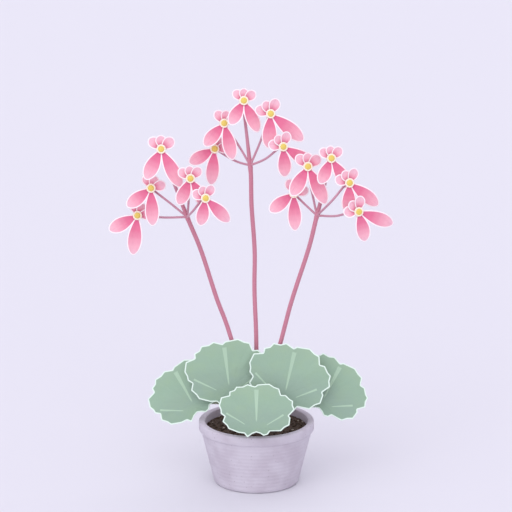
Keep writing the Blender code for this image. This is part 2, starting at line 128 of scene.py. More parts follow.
def graded(
    tree: bpy.types.NodeTree,
    value: object,
    stops: Sequence[tuple[float, str]],
) -> bpy.types.Node:
    """Blends colours along a value, from one stop to the next.

    Args:
        tree: Node tree that gets the nodes.
        value: Node or socket that drives the blend.
        stops: Values, rising, each with its sRGB hex colour.

    Returns:
        Node whose result is the blended colour.
    """
    colour: object = linear(stops[0][1])
    for (low, _), (high, code) in zip(stops, stops[1:]):
        share = add_node(
            tree,
            "ShaderNodeMapRange",
            {"interpolation_type": "SMOOTHSTEP"},
            {"Value": value, "From Min": low, "From Max": high},
        )
        colour = add_node(
            tree,
            "ShaderNodeMix",
            {"data_type": "RGBA"},
            {"Factor": share, "A": colour, "B": linear(code)},
        )
    return colour


def attribute(tree: bpy.types.NodeTree, name: str, output: str = "Fac") -> bpy.types.NodeSocket:
    """Reads one of the piece's own attributes as a number, or as a vector."""
    return add_node(tree, "ShaderNodeAttribute", {"attribute_name": name}).outputs[output]


@dataclass(frozen=True)
class Finish:
    """The finish of one kind of surface, on one Principled shader.

    The sheen stands for short hairs and fibres that catch light at grazing angles.
    """

    name: str
    roughness: float = 0.6
    ior: float = 1.45
    sheen: float = 0.0
    sheen_roughness: float = 0.5
    sheen_tint: str = "#FFFFFF"

    def paint(self, tree: bpy.types.NodeTree) -> dict[str, object]:
        """Adds the pattern's nodes and gives what feeds each of the shader's sockets."""
        raise NotImplementedError

    def material(self) -> bpy.types.Material:
        """Gives the material, and makes it when it is first asked for."""
        found = bpy.data.materials.get(self.name)
        if found is not None:
            return found
        made = bpy.data.materials.new(self.name)
        made.use_nodes = True
        shader = made.node_tree.nodes["Principled BSDF"]
        shader.inputs["Metallic"].default_value = 0.0
        shader.inputs["Roughness"].default_value = self.roughness
        shader.inputs["IOR"].default_value = self.ior
        shader.inputs["Sheen Weight"].default_value = self.sheen
        shader.inputs["Sheen Roughness"].default_value = self.sheen_roughness
        shader.inputs["Sheen Tint"].default_value = linear(self.sheen_tint)
        for name, value in self.paint(made.node_tree).items():
            socket = shader.inputs[name]
            if isinstance(value, tuple):
                socket.default_value = value
                continue
            if isinstance(value, bpy.types.Node):
                value = next(output for output in value.outputs if output.enabled)
            made.node_tree.links.new(value, socket)
        return made


@dataclass(frozen=True)
class PetalSkin(Finish):
    """Fresh petal: thin matte cells that deepen to rose at the claw, with a pale picotee rim."""

    name: str = "Fresh saxifrage petal"
    roughness: float = 0.62
    ior: float = 1.4
    sheen: float = 0.12
    stops: tuple[tuple[float, str], ...] = (
        (0.1, "#D95E89"),
        (0.34, "#DD7090"),
        (0.5, "#E388A0"),
        (0.66, "#EA9FB1"),
        (0.8, "#F0AFBD"),
        (0.95, "#EEBAC7"),
    )
    rim: str = "#F6ECEC"
    vein: str = "#CB6F8D"
    rim_width_mm: float = 0.72
    fibre_mm: float = 0.45

    def paint(self, tree: bpy.types.NodeTree) -> dict[str, object]:
        """Fades the rose along the petal, with fine lengthwise veins and a pale rim."""
        body = graded(tree, attribute(tree, "along"), self.stops)
        stretch = add_node(
            tree,
            "ShaderNodeVectorMath",
            {"operation": "MULTIPLY"},
            {"Vector": attribute(tree, "flat", "Vector"), "Vector:1": (1.0, 0.09, 1.0)},
        )
        fibre = add_node(
            tree,
            "ShaderNodeTexNoise",
            None,
            {"Vector": stretch, "Scale": 1.0 / self.fibre_mm, "Detail": 2.0},
        )
        streak = add_node(
            tree,
            "ShaderNodeMapRange",
            None,
            {"Value": fibre, "From Min": 0.5, "From Max": 0.75, "To Max": 0.28},
        )
        veined = add_node(
            tree,
            "ShaderNodeMix",
            {"data_type": "RGBA"},
            {"Factor": streak, "A": body, "B": linear(self.vein)},
        )
        rim = add_node(
            tree,
            "ShaderNodeMapRange",
            {"interpolation_type": "SMOOTHSTEP"},
            {
                "Value": attribute(tree, "margin"),
                "From Min": self.rim_width_mm + 0.1,
                "From Max": self.rim_width_mm - 0.15,
            },
        )
        colour = add_node(
            tree,
            "ShaderNodeMix",
            {"data_type": "RGBA"},
            {"Factor": rim, "A": veined, "B": linear(self.rim)},
        )
        relief = add_node(
            tree,
            "ShaderNodeBump",
            None,
            {"Strength": 0.5, "Distance": 0.12 * MILLIMETRE, "Height": fibre},
        )
        return {"Base Color": colour, "Normal": relief}


@dataclass(frozen=True)
class GrainedSkin(Finish):
    """Plain plant tissue of one colour with a fine grain, such as an eye's disc."""

    colour: str = "#E5CF67"
    shade: str = "#DABD57"
    grain_mm: float = 0.35
    relief_mm: float = 0.08

    def paint(self, tree: bpy.types.NodeTree) -> dict[str, object]:
        """Mottles the colour with small rounded grains, which also stand out a little."""
        place = add_node(tree, "ShaderNodeTexCoord").outputs["Object"]
        grains = add_node(
            tree,
            "ShaderNodeTexVoronoi",
            {"feature": "SMOOTH_F1"},
            {"Vector": place, "Scale": 1.0 / (self.grain_mm * MILLIMETRE), "Smoothness": 0.4},
        )
        share = add_node(
            tree,
            "ShaderNodeMapRange",
            None,
            {"Value": grains, "From Min": 0.25, "From Max": 0.8},
        )
        colour = add_node(
            tree,
            "ShaderNodeMix",
            {"data_type": "RGBA"},
            {"Factor": share, "A": linear(self.colour), "B": linear(self.shade)},
        )
        relief = add_node(
            tree,
            "ShaderNodeBump",
            {"invert": True},
            {"Strength": 0.6, "Distance": self.relief_mm * MILLIMETRE, "Height": grains},
        )
        return {"Base Color": colour, "Normal": relief}


@dataclass(frozen=True)
class LeafSkin(Finish):
    """Hairy saxifrage leaf: matte sage, a mint-white rim and three broad pale veins.

    The veins are wedges, broad near the edge and narrow towards the stalk.
    """

    name: str = "Hairy saxifrage leaf"
    roughness: float = 0.68
    ior: float = 1.45
    sheen: float = 0.1
    sheen_roughness: float = 0.4
    stops: tuple[tuple[float, str], ...] = (
        (-21.0, "#86A18B"),
        (-6.0, "#8CA592"),
        (8.0, "#90AC94"),
        (21.0, "#94AF95"),
    )
    warm: str = "#96B189"
    rim: str = "#DAECDE"
    vein: str = "#A6C2A7"
    rim_width_mm: float = 0.8
    cell_mm: float = 1.3
    mottle_mm: float = 9.0
    vein_widths_mm: tuple[tuple[str, float, float], ...] = (
        ("vein_middle", 2.9, 0.7),
        ("vein_left", 1.35, 0.5),
        ("vein_right", 1.35, 0.5),
    )

    def vein_mask(
        self,
        tree: bpy.types.NodeTree,
        name: str,
        outer_mm: float,
        inner_mm: float,
    ) -> bpy.types.Node:
        """Marks one vein, whose attribute holds millimetres across it and its share along.

        Args:
            tree: Node tree that gets the nodes.
            name: Attribute of the vein.
            outer_mm: Width at the vein's start, near the leaf's edge.
            inner_mm: Width at its end.

        Returns:
            Node whose result is 1 on the vein.
        """
        parts = add_node(
            tree,
            "ShaderNodeSeparateXYZ",
            None,
            {"Vector": attribute(tree, name, "Vector")},
        )
        half = add_node(
            tree,
            "ShaderNodeMapRange",
            None,
            {
                "Value": parts.outputs["Y"],
                "To Min": outer_mm / 2,
                "To Max": inner_mm / 2,
            },
        )
        off = add_node(tree, "ShaderNodeMath", {"operation": "ABSOLUTE"}, {"Value": parts})
        inside = add_node(
            tree,
            "ShaderNodeMath",
            {"operation": "SUBTRACT"},
            {"Value": half, "Value:1": off},
        )
        side = add_node(
            tree,
            "ShaderNodeMapRange",
            {"interpolation_type": "SMOOTHSTEP"},
            {"Value": inside, "From Min": -0.1, "From Max": 0.12},
        )
        begins = add_node(
            tree,
            "ShaderNodeMapRange",
            {"interpolation_type": "SMOOTHSTEP"},
            {"Value": parts.outputs["Y"], "From Min": -0.01, "From Max": 0.02},
        )
        ends = add_node(
            tree,
            "ShaderNodeMapRange",
            {"interpolation_type": "SMOOTHSTEP"},
            {"Value": parts.outputs["Y"], "From Min": 1.0, "From Max": 0.9},
        )
        within = add_node(
            tree,
            "ShaderNodeMath",
            {"operation": "MULTIPLY"},
            {"Value": begins, "Value:1": ends},
        )
        return add_node(
            tree,
            "ShaderNodeMath",
            {"operation": "MULTIPLY"},
            {"Value": side, "Value:1": within},
        )

    def paint(self, tree: bpy.types.NodeTree) -> dict[str, object]:
        """Fades the sage from foot to tip, adds veins and rim, and embosses small cells."""
        blade = attribute(tree, "blade", "Vector")
        height = add_node(tree, "ShaderNodeSeparateXYZ", None, {"Vector": blade}).outputs["Y"]
        body = graded(tree, height, self.stops)
        mottle = add_node(
            tree,
            "ShaderNodeTexNoise",
            None,
            {"Vector": blade, "Scale": 1.0 / self.mottle_mm, "Detail": 3.0},
        )
        warmth = add_node(
            tree,
            "ShaderNodeMapRange",
            None,
            {"Value": mottle, "From Min": 0.45, "From Max": 0.75, "To Max": 0.3},
        )
        mottled = add_node(
            tree,
            "ShaderNodeMix",
            {"data_type": "RGBA"},
            {"Factor": warmth, "A": body, "B": linear(self.warm)},
        )
        veins = None
        for name, outer, inner in self.vein_widths_mm:
            mask = self.vein_mask(tree, name, outer, inner)
            veins = mask if veins is None else add_node(
                tree,
                "ShaderNodeMath",
                {"operation": "MAXIMUM"},
                {"Value": veins, "Value:1": mask},
            )
        veined = add_node(
            tree,
            "ShaderNodeMix",
            {"data_type": "RGBA"},
            {"Factor": veins, "A": mottled, "B": linear(self.vein)},
        )
        rim = add_node(
            tree,
            "ShaderNodeMapRange",
            {"interpolation_type": "SMOOTHSTEP"},
            {
                "Value": attribute(tree, "margin"),
                "From Min": self.rim_width_mm + 0.12,
                "From Max": self.rim_width_mm - 0.12,
            },
        )
        colour = add_node(
            tree,
            "ShaderNodeMix",
            {"data_type": "RGBA"},
            {"Factor": rim, "A": veined, "B": linear(self.rim)},
        )
        cells = add_node(
            tree,
            "ShaderNodeTexVoronoi",
            {"feature": "DISTANCE_TO_EDGE"},
            {"Vector": blade, "Scale": 1.0 / self.cell_mm},
        )
        puffed = add_node(
            tree,
            "ShaderNodeBump",
            None,
            {"Strength": 0.35, "Distance": 0.12 * MILLIMETRE, "Height": cells},
        )
        raised = add_node(
            tree,
            "ShaderNodeBump",
            None,
            {
                "Strength": 0.5,
                "Distance": 0.15 * MILLIMETRE,
                "Height": veins,
                "Normal": puffed,
            },
        )
        return {"Base Color": colour, "Normal": raised}


@dataclass(frozen=True)
class LeafUnderside(Finish):
    """Back of a saxifrage leaf: paler, duller and flushed with rose between its ribs."""

    name: str = "Saxifrage leaf underside"
    roughness: float = 0.75
    sheen: float = 0.15
    green: str = "#93A890"
    flush: str = "#A98D8B"
    patch_mm: float = 7.0

    def paint(self, tree: bpy.types.NodeTree) -> dict[str, object]:
        """Blends green and rose in soft patches."""
        blade = attribute(tree, "blade", "Vector")
        patches = add_node(
            tree,
            "ShaderNodeTexNoise",
            None,
            {"Vector": blade, "Scale": 1.0 / self.patch_mm, "Detail": 4.0},
        )
        share = add_node(
            tree,
            "ShaderNodeMapRange",
            None,
            {"Value": patches, "From Min": 0.4, "From Max": 0.75, "To Max": 0.55},
        )
        colour = add_node(
            tree,
            "ShaderNodeMix",
            {"data_type": "RGBA"},
            {"Factor": share, "A": linear(self.green), "B": linear(self.flush)},
        )
        relief = add_node(
            tree,
            "ShaderNodeBump",
            None,
            {"Strength": 0.4, "Distance": 0.15 * MILLIMETRE, "Height": patches},
        )
        return {"Base Color": colour, "Normal": relief}


@dataclass(frozen=True)
class StemSkin(Finish):
    """Young saxifrage stem: satin, dusty rose, with fine lengthwise streaks and soft down."""

    name: str = "Downy rose stem"
    roughness: float = 0.58
    sheen: float = 0.35
    sheen_roughness: float = 0.35
    sheen_tint: str = "#FFE9EF"
    thick: str = "#C17C8D"
    thin: str = "#C190A0"
    streak: str = "#B16A80"
    streak_mm: float = 0.5

    def paint(self, tree: bpy.types.NodeTree) -> dict[str, object]:
        """Pales the rose towards the thin stems and draws streaks along them."""
        body = graded(tree, attribute(tree, "slender"), ((0.0, self.thick), (1.0, self.thin)))
        stretch = add_node(
            tree,
            "ShaderNodeVectorMath",
            {"operation": "MULTIPLY"},
            {"Vector": attribute(tree, "stem", "Vector"), "Vector:1": (1.0, 1.0, 0.08)},
        )
        fibre = add_node(
            tree,
            "ShaderNodeTexNoise",
            None,
            {"Vector": stretch, "Scale": 1.0 / self.streak_mm, "Detail": 2.0},
        )
        share = add_node(
            tree,
            "ShaderNodeMapRange",
            None,
            {"Value": fibre, "From Min": 0.5, "From Max": 0.8, "To Max": 0.6},
        )
        colour = add_node(
            tree,
            "ShaderNodeMix",
            {"data_type": "RGBA"},
            {"Factor": share, "A": body, "B": linear(self.streak)},
        )
        relief = add_node(
            tree,
            "ShaderNodeBump",
            None,
            {"Strength": 0.4, "Distance": 0.08 * MILLIMETRE, "Height": fibre},
        )
        return {"Base Color": colour, "Normal": relief}


@dataclass(frozen=True)
class Down(Finish):
    """Soft white plant hairs, which are clear and so nearly white in a mass."""

    name: str = "White stem down"
    roughness: float = 0.45
    colour: str = "#E3CFD6"

    def paint(self, tree: bpy.types.NodeTree) -> dict[str, object]:
        """Gives the hairs one colour, as each is far thinner than any pattern on it."""
        return {"Base Color": linear(self.colour)}


@dataclass(frozen=True)
class Stoneware(Finish):
    """Pale wheel-thrown stoneware: dry matte clay with iron specks and soft turning lines."""

    name: str = "Wheel-thrown pale stoneware"
    roughness: float = 0.82
    ior: float = 1.5
    clay: str = "#C9C3CC"
    cloud: str = "#BDB5BF"
    speck: str = "#8E8087"
    cloud_mm: float = 14.0
    speck_mm: float = 1.6

    def paint(self, tree: bpy.types.NodeTree) -> dict[str, object]:
        """Clouds the clay, dots it with specks and roughens it with a sandy grain."""
        place = add_node(tree, "ShaderNodeTexCoord").outputs["Object"]
        clouds = add_node(
            tree,
            "ShaderNodeTexNoise",
            None,
            {"Vector": place, "Scale": 1.0 / (self.cloud_mm * MILLIMETRE), "Detail": 4.0},
        )
        body = graded(tree, clouds, ((0.35, self.clay), (0.7, self.cloud)))
        dots = add_node(
            tree,
            "ShaderNodeTexVoronoi",
            None,
            {"Vector": place, "Scale": 1.0 / (self.speck_mm * MILLIMETRE)},
        )
        chance = add_node(
            tree,
            "ShaderNodeSeparateColor",
            None,
            {"Color": dots.outputs["Color"]},
        )
        size = add_node(
            tree,
            "ShaderNodeMapRange",
            None,
            {"Value": chance, "From Min": 0.55, "From Max": 1.0, "To Max": 0.2},
        )
        inside = add_node(
            tree,
            "ShaderNodeMath",
            {"operation": "SUBTRACT"},
            {"Value": size, "Value:1": dots.outputs["Distance"]},
        )
        mark = add_node(
            tree,
            "ShaderNodeMapRange",
            {"interpolation_type": "SMOOTHSTEP"},
            {"Value": inside, "From Min": -0.02, "From Max": 0.04, "To Max": 0.75},
        )
        colour = add_node(
            tree,
            "ShaderNodeMix",
            {"data_type": "RGBA"},
            {"Factor": mark, "A": body, "B": linear(self.speck)},
        )
        grain = add_node(
            tree,
            "ShaderNodeTexNoise",
            None,
            {"Vector": place, "Scale": 1.0 / (0.6 * MILLIMETRE), "Detail": 3.0},
        )
        relief = add_node(
            tree,
            "ShaderNodeBump",
            None,
            {"Strength": 0.3, "Distance": 0.12 * MILLIMETRE, "Height": grain},
        )
        return {"Base Color": colour, "Normal": relief}


@dataclass(frozen=True)
class Earth(Finish):
    """Rough loose matter, such as moist potting mix or an old rootstock, in two colours."""

    dark: str = "#33271F"
    light: str = "#5A4636"
    lump_mm: float = 1.2
    relief_mm: float = 0.5

    def paint(self, tree: bpy.types.NodeTree) -> dict[str, object]:
        """Blends the two colours in lumps, which also stand out."""
        place = add_node(tree, "ShaderNodeTexCoord").outputs["Object"]
        lumps = add_node(
            tree,
            "ShaderNodeTexNoise",
            None,
            {
                "Vector": place,
                "Scale": 1.0 / (self.lump_mm * MILLIMETRE),
                "Detail": 6.0,
                "Roughness": 0.7,
            },
        )
        colour = graded(tree, lumps, ((0.35, self.dark), (0.68, self.light)))
        relief = add_node(
            tree,
            "ShaderNodeBump",
            None,
            {"Strength": 0.8, "Distance": self.relief_mm * MILLIMETRE, "Height": lumps},
        )
        return {"Base Color": colour, "Normal": relief}


@dataclass(frozen=True)
class PlainPaper(Finish):
    """Seamless studio paper, which is even and matte."""

    name: str = "Seamless studio paper"
    roughness: float = 1.0
    albedo: tuple[float, float, float] = (0.7, 0.7, 0.7)

    def paint(self, tree: bpy.types.NodeTree) -> dict[str, object]:
        """Gives the paper its one even colour, which is set in linear light."""
        return {"Base Color": (*self.albedo, 1.0)}


def finished(
    name: str,
    shape: bmesh.types.BMesh,
    finishes: Sequence[Finish],
    nodes: Iterable[str],
) -> bpy.types.Object:
    """Turns a shape into a piece of the plant that stands in for plain solids.

    Args:
        name: Name of the piece.
        shape: Mesh in the making, which is used up.
        finishes: Finishes in the order of the faces' material numbers.
        nodes: Names of the solids that it stands in for.

    Returns:
        The piece.
    """
    bmesh.ops.recalc_face_normals(shape, faces=shape.faces[:])
    data = bpy.data.meshes.new(name)
    shape.to_mesh(data)
    shape.free()
    data.shade_smooth()
    data.set_sharp_from_angle(angle=math.radians(55))
    for finish in finishes:
        data.materials.append(finish.material())
    piece = bpy.data.objects.new(name, data)
    bpy.context.scene.collection.objects.link(piece)
    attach(piece, "root")
    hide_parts(*nodes)
    LOG.info("%s: %d faces", name, len(data.polygons))
    return piece


def smooth_path(
    knots: Sequence[Vector],
    leave: Vector,
    arrive: Vector,
    steps: int,
) -> list[Vector]:
    """Gives points along a smooth curve through the knots.

    Args:
        knots: Points that the curve passes through.
        leave: Direction at the first of them.
        arrive: Direction at the last.
        steps: Steps between two knots.

    Returns:
        The points, from the first knot to the last.
    """
    slopes = [leave.normalized() * (knots[1] - knots[0]).length]
    slopes += [(after - before) / 2 for before, after in zip(knots, knots[2:])]
    slopes.append(arrive.normalized() * (knots[-1] - knots[-2]).length)
    points: list[Vector] = []
    for index in range(len(knots) - 1):
        start, end = knots[index], knots[index + 1]
        handles = (start + slopes[index] / 3, end - slopes[index + 1] / 3)
        points += interpolate_bezier(start, *handles, end, steps + 1)[:-1]
    points.append(knots[-1].copy())
    return points


def edge_distances(places: np.ndarray, edge: np.ndarray) -> np.ndarray:
    """Measures how far places on a flat blade are from its edge.

    Args:
        places: Points on the blade, as rows of two.
        edge: Points along the edge, as rows of two.

    Returns:
        One distance for each place.
    """
    start, reach = edge[:-1], edge[1:] - edge[:-1]
    squared = np.maximum((reach**2).sum(axis=1), 1e-18)
    offset = places[:, None, :] - start[None, :, :]
    share = np.clip((offset * reach[None, :, :]).sum(axis=2) / squared, 0.0, 1.0)
    nearest = offset - share[:, :, None] * reach[None, :, :]
    return np.sqrt((nearest**2).sum(axis=2)).min(axis=1)


def close_sheet(
    shape: bmesh.types.BMesh,
    sheet: Sequence[bmesh.types.BMFace],
    depth: Callable[[bmesh.types.BMVert], float],
    rounding: float,
) -> list[bmesh.types.BMFace]:
    """Turns an open sheet into a closed blade with a rounded edge.

    Args:
        shape: Mesh that holds the sheet.
        sheet: Faces of the sheet, which become the blade's front.
        depth: Gives the blade's thickness at a corner of the sheet.
        rounding: Radius of the blade's edge.

    Returns:
        Faces of the back.
    """
    grown = bmesh.ops.extrude_face_region(shape, geom=sheet)["geom"]
    back_corners = [item for item in grown if isinstance(item, bmesh.types.BMVert)]
    back = [item for item in grown if isinstance(item, bmesh.types.BMFace)]
    for corner in back_corners:
        corner.co.z -= depth(corner)
    front_set = set(sheet)
    back_set = set(back)
    rims = []
    for corner in {vert for face in back for vert in face.verts} | {
        vert for face in sheet for vert in face.verts
    }:
        for edge in corner.link_edges:
            sides = edge.link_faces
            ours = sum(face in front_set or face in back_set for face in sides)
            if len(sides) == 2 and ours == 1:
                rims.append(edge)
    bmesh.ops.bevel(
        shape,
        geom=list(set(rims)),
        offset=rounding,
        offset_type="OFFSET",
        affect="EDGES",
        segments=2,
        profile=0.5,
        material=-1,
        clamp_overlap=True,
    )
    return [face for face in back if face.is_valid]


@dataclass
class Tube:
    """A round stem along a row of points, closed at both ends, with down on its skin.

    The radius is given at shares of its length, and the slenderness colours it.
    """

    points: list[Vector]
    radius: Callable[[float], float]
    sides: int = 14
    slender: Callable[[float], float] = lambda share: 0.0
    hairs: int = 0
    seed: int = 0
    hair_length_mm: float = 0.7
    hair_width_mm: float = 0.09

    def frames(self) -> list[Matrix]:
        """Gives a frame at each point, with Z along the stem and no twist from one to the next."""
        last = len(self.points) - 1
        frames = []
        turned = None
        before = UP
        for index, point in enumerate(self.points):
            ahead = self.points[min(index + 1, last)] - self.points[max(index - 1, 0)]
            ahead.normalize()
            swing = before.rotation_difference(ahead)
            turned = swing if turned is None else swing @ turned
            before = ahead
            frames.append(Matrix.Translation(point) @ turned.to_matrix().to_4x4())
        return frames

    def add_to(self, shape: bmesh.types.BMesh) -> None:
        """Adds the stem and its down to a mesh, with the attributes that its skin reads.

        Args:
            shape: Mesh in the making.
        """
        along_mm = shape.verts.layers.float_vector.get("stem")
        along_mm = along_mm or shape.verts.layers.float_vector.new("stem")
        slender = shape.verts.layers.float.get("slender")
        slender = slender or shape.verts.layers.float.new("slender")
        frames = self.frames()
        count = len(frames)
        travelled = 0.0
        ring = bmesh.ops.create_circle(shape, segments=self.sides, radius=1.0)["verts"]
        edges = list({edge for vert in ring for edge in vert.link_edges})
        caps = list(edges)
        before = Matrix.Identity(4)
        for index, frame in enumerate(frames):
            share = index / (count - 1)
            if index:
                grown = bmesh.ops.extrude_edge_only(shape, edges=edges)["geom"]
                ring = [item for item in grown if isinstance(item, bmesh.types.BMVert)]
                inside = set(ring)
                edges = list(
                    {edge for vert in ring for edge in vert.link_edges if set(edge.verts) <= inside}
                )
                travelled += (self.points[index] - self.points[index - 1]).length
            placed = frame @ Matrix.Scale(self.radius(share), 4)
            bmesh.ops.transform(shape, matrix=placed @ before.inverted(), verts=ring)
            before = placed
            local = frame.inverted()
            for vert in ring:
                spot = local @ vert.co
                height = travelled / MILLIMETRE
                vert[along_mm] = (spot.x / MILLIMETRE, spot.y / MILLIMETRE, height)
                vert[slender] = self.slender(share)
        bmesh.ops.edgeloop_fill(shape, edges=caps)
        bmesh.ops.edgeloop_fill(shape, edges=edges)
        self.add_down(shape, frames)

    def add_down(self, shape: bmesh.types.BMesh, frames: Sequence[Matrix]) -> None:
        """Sets short tapered hairs on the stem, each rooted in its skin.

        Args:
            shape: Mesh in the making.
            frames: Frames along the stem.
        """
        draw = random.Random(self.seed)
        for _ in range(self.hairs):
            spot = draw.uniform(1.0, len(frames) - 2.0)
            index = int(spot)
            frame = frames[index].lerp(frames[index + 1], spot - index)
            radius = self.radius(spot / (len(frames) - 1))
            length = self.hair_length_mm * MILLIMETRE * draw.uniform(0.6, 1.3)
            around = Matrix.Rotation(draw.uniform(0.0, math.tau), 4, "Z")
            tilt = Matrix.Rotation(math.radians(draw.uniform(60.0, 105.0)), 4, "Y")
            root = Matrix.Translation((0.0, 0.0, radius * 0.9 + length / 2))
            made = bmesh.ops.create_cone(
                shape,
                cap_ends=True,
                segments=3,
                radius1=self.hair_width_mm * MILLIMETRE / 2,
                radius2=self.hair_width_mm * MILLIMETRE / 12,
                depth=length,
                matrix=frame @ around @ tilt @ root,
            )
            for face in {face for vert in made["verts"] for face in vert.link_faces}:
                face.material_index = 1


@dataclass(frozen=True)
class LeafSite:
    """One leaf: where its stalk meets the blade, how the blade is held, and its size."""

    name: str
    hub: tuple[float, float, float]
    lean: float
    facing_up: float
    turn: float
    half_width: float
    half_length: float
    foot: tuple[float, float, float]
    bow: tuple[float, float, float]
    seed: int

    def pose(self) -> Matrix:
        """Gives the pose of the blade, with its hub on the origin of its own frame."""
        tip_up = Matrix.Rotation(math.radians(-self.lean), 4, "Z")
        lean_back = Matrix.Rotation(math.radians(90 - self.facing_up), 4, "X")
        turn = Matrix.Rotation(math.radians(self.turn), 4, "Z")
        return Matrix.Translation(self.hub) @ turn @ lean_back @ tip_up


@dataclass
class Foliage:
    """The fan of leaves: five scalloped blades, each on its own stalk."""

    sites: tuple[LeafSite, ...] = (
        LeafSite(
            name="front",
            hub=(0.0, -0.0420, 0.0519),
            lean=0.5,
            facing_up=53,
            turn=0,
            half_width=0.0246,
            half_length=0.0206,
            foot=(0.0, -0.0065, 0.036),
            bow=(0.0, 0.001, 0.002),
            seed=1,
        ),
        LeafSite(
            name="back_left",
            hub=(-0.0177, -0.0055, 0.0642),
            lean=-7,
            facing_up=20,
            turn=-2,
            half_width=0.0282,
            half_length=0.021,
            foot=(-0.0065, -0.0035, 0.036),
            bow=(-0.001, 0.002, 0.0),
            seed=2,
        ),
        LeafSite(
            name="back_right",
            hub=(0.0184, -0.0116, 0.0622),
            lean=15.5,
            facing_up=20,
            turn=6,
            half_width=0.0278,
            half_length=0.0216,
            foot=(0.0065, -0.0035, 0.036),
            bow=(0.001, 0.002, 0.0),
            seed=3,
        ),
        LeafSite(
            name="side_left",
            hub=(-0.0415, -0.0021, 0.0529),
            lean=-34,
            facing_up=22,
            turn=-14,
            half_width=0.0267,
            half_length=0.0193,
            foot=(-0.0085, 0.0015, 0.036),
            bow=(0.0, 0.003, 0.0035),
            seed=4,
        ),
        LeafSite(
            name="side_right",
            hub=(0.0435, -0.0031, 0.0561),
            lean=34,
            facing_up=22,
            turn=14,
            half_width=0.0273,
            half_length=0.0194,
            foot=(0.0085, 0.0015, 0.036),
            bow=(0.0, 0.003, 0.0005),
            seed=5,
        ),
    )
    outline: tuple[tuple[int, float], ...] = (
        (1, 0.97), (18, 1.06), (27, 1.01), (35, 1.03), (47, 0.88), (52, 0.97), (64, 0.97),
        (70, 1.02), (79, 0.97), (89, 1.00), (103, 0.87), (107, 0.93), (122, 1.02), (131, 0.98),
        (141, 1.02), (156, 0.88), (162, 0.97), (169, 0.98), (173, 0.88), (180, 0.82), (187, 0.88),
        (193, 1.04), (200, 0.93), (209, 0.98), (225, 1.03), (233, 0.98), (244, 0.99), (255, 0.87),
        (263, 0.95), (271, 0.95), (279, 1.01), (296, 1.05), (307, 0.91), (314, 1.01), (322, 0.98),
        (329, 1.06), (338, 0.99), (346, 1.03), (357, 0.90),
    )
    veins: tuple[tuple[str, tuple[float, float], tuple[float, float]], ...] = (
        ("vein_middle", (-0.01, 0.79), (0.0, -0.43)),
        ("vein_left", (-0.80, -0.10), (-0.28, -0.53)),
        ("vein_right", (0.71, -0.145), (0.25, -0.55)),
    )
    thickness: float = 0.0008
    edge_thickness: float = 0.00045
    hub_rise: float = 0.0096
    dish: float = 0.0012
    wave: float = 0.0005
    waves: int = 5
    edge_steps: int = 360
    rings: int = 34
    corner_rounding: float = 0.0009
    rim_width: float = 0.0008
    rim_height: float = 0.00012
    pleats: int = 13
    pleat_height: float = 0.0001
    stalk_radius: float = 0.0011
    stalk_neck: float = 0.002
    crown_top: float = 0.0455

    def edge(self, site: LeafSite) -> np.ndarray:
        """Draws a blade's scalloped edge about its hub, with its corners rounded.

        Args:
            site: Leaf whose size it takes.

        Returns:
            Evenly spaced points, as rows of two, whose last is the first again.
        """
        turns = np.radians([turn for turn, _ in self.outline])
        reaches = np.array([reach for _, reach in self.outline])
        across = site.half_width * reaches * np.sin(turns)
        up = site.half_length * (1 + reaches * np.cos(turns)) - self.hub_rise
        loop = np.column_stack((across, up))
        fine = self.spread(np.vstack((loop, loop[:1])), self.edge_steps * 8)
        length = np.linalg.norm(np.diff(fine, axis=0), axis=1).sum()
        window = int(round(self.corner_rounding / length * self.edge_steps * 8)) | 1
        ring = np.vstack((fine[-window - 1 : -1], fine[:-1], fine[:window]))
        kernel = np.hanning(window + 2)[1:-1]
        kernel /= kernel.sum()
        soft = np.column_stack([np.convolve(ring[:, axis], kernel, "same") for axis in (0, 1)])
        soft = soft[window : window + len(fine) - 1]
        return self.spread(np.vstack((soft, soft[:1])), self.edge_steps)

    @staticmethod
    def spread(line: np.ndarray, steps: int) -> np.ndarray:
        """Spaces points evenly along a line.

        Args:
            line: Points of the line, as rows of two.
            steps: Number of steps.

        Returns:
            One point more than there are steps.
        """
        lengths = np.linalg.norm(np.diff(line, axis=0), axis=1)
        travelled = np.concatenate(((0.0,), np.cumsum(lengths)))
        places = np.linspace(0.0, travelled[-1], steps + 1)
        return np.column_stack([np.interp(places, travelled, line[:, axis]) for axis in (0, 1)])

    def build_blade(self, site: LeafSite) -> None:
        """Builds one blade: a fine fan from its hub, dished, pleated and closed at the back.

        Args:
            site: Leaf to build.
        """
        shape = bmesh.new()
        layers = shape.verts.layers
        margin = layers.float.new("margin")
        blade = layers.float_vector.new("blade")
        lines = [layers.float_vector.new(name) for name, _, _ in self.veins]
        bmesh.ops.create_grid(
            shape, x_segments=self.edge_steps, y_segments=self.rings, size=1.0
        )
        edge = self.edge(site)
        middle = site.half_length - self.hub_rise
        corners = list(shape.verts)
        places = np.zeros((len(corners), 2))
        shares = np.zeros(len(corners))
        for index, vert in enumerate(corners):
            step = round((vert.co.x + 1) / 2 * self.edge_steps)
            shares[index] = 1 - (1 - (vert.co.y + 1) / 2) ** 2
            places[index] = edge[step] * shares[index]
        away = edge_distances(places, edge)
        for index, vert in enumerate(corners):
            x, y = places[index]
            vert[margin] = away[index] / MILLIMETRE
            vert[blade] = (x / MILLIMETRE, (y - middle) / MILLIMETRE, site.seed * 40.0)
            for layer, (_, outer, inner) in zip(lines, self.veins):
                start = Vector((outer[0] * site.half_width, outer[1] * site.half_length + middle))
                end = Vector((inner[0] * site.half_width, inner[1] * site.half_length + middle))
                run = end - start
                offset = Vector((x, y)) - start
                off = run.cross(offset) / run.length
                vert[layer] = (off / MILLIMETRE, run.dot(offset) / run.length_squared, 0.0)
            vert.co = (x, y, self.height(site, x, y, middle, shares[index], away[index]))
        bmesh.ops.remove_doubles(shape, verts=shape.verts[:], dist=1e-6)

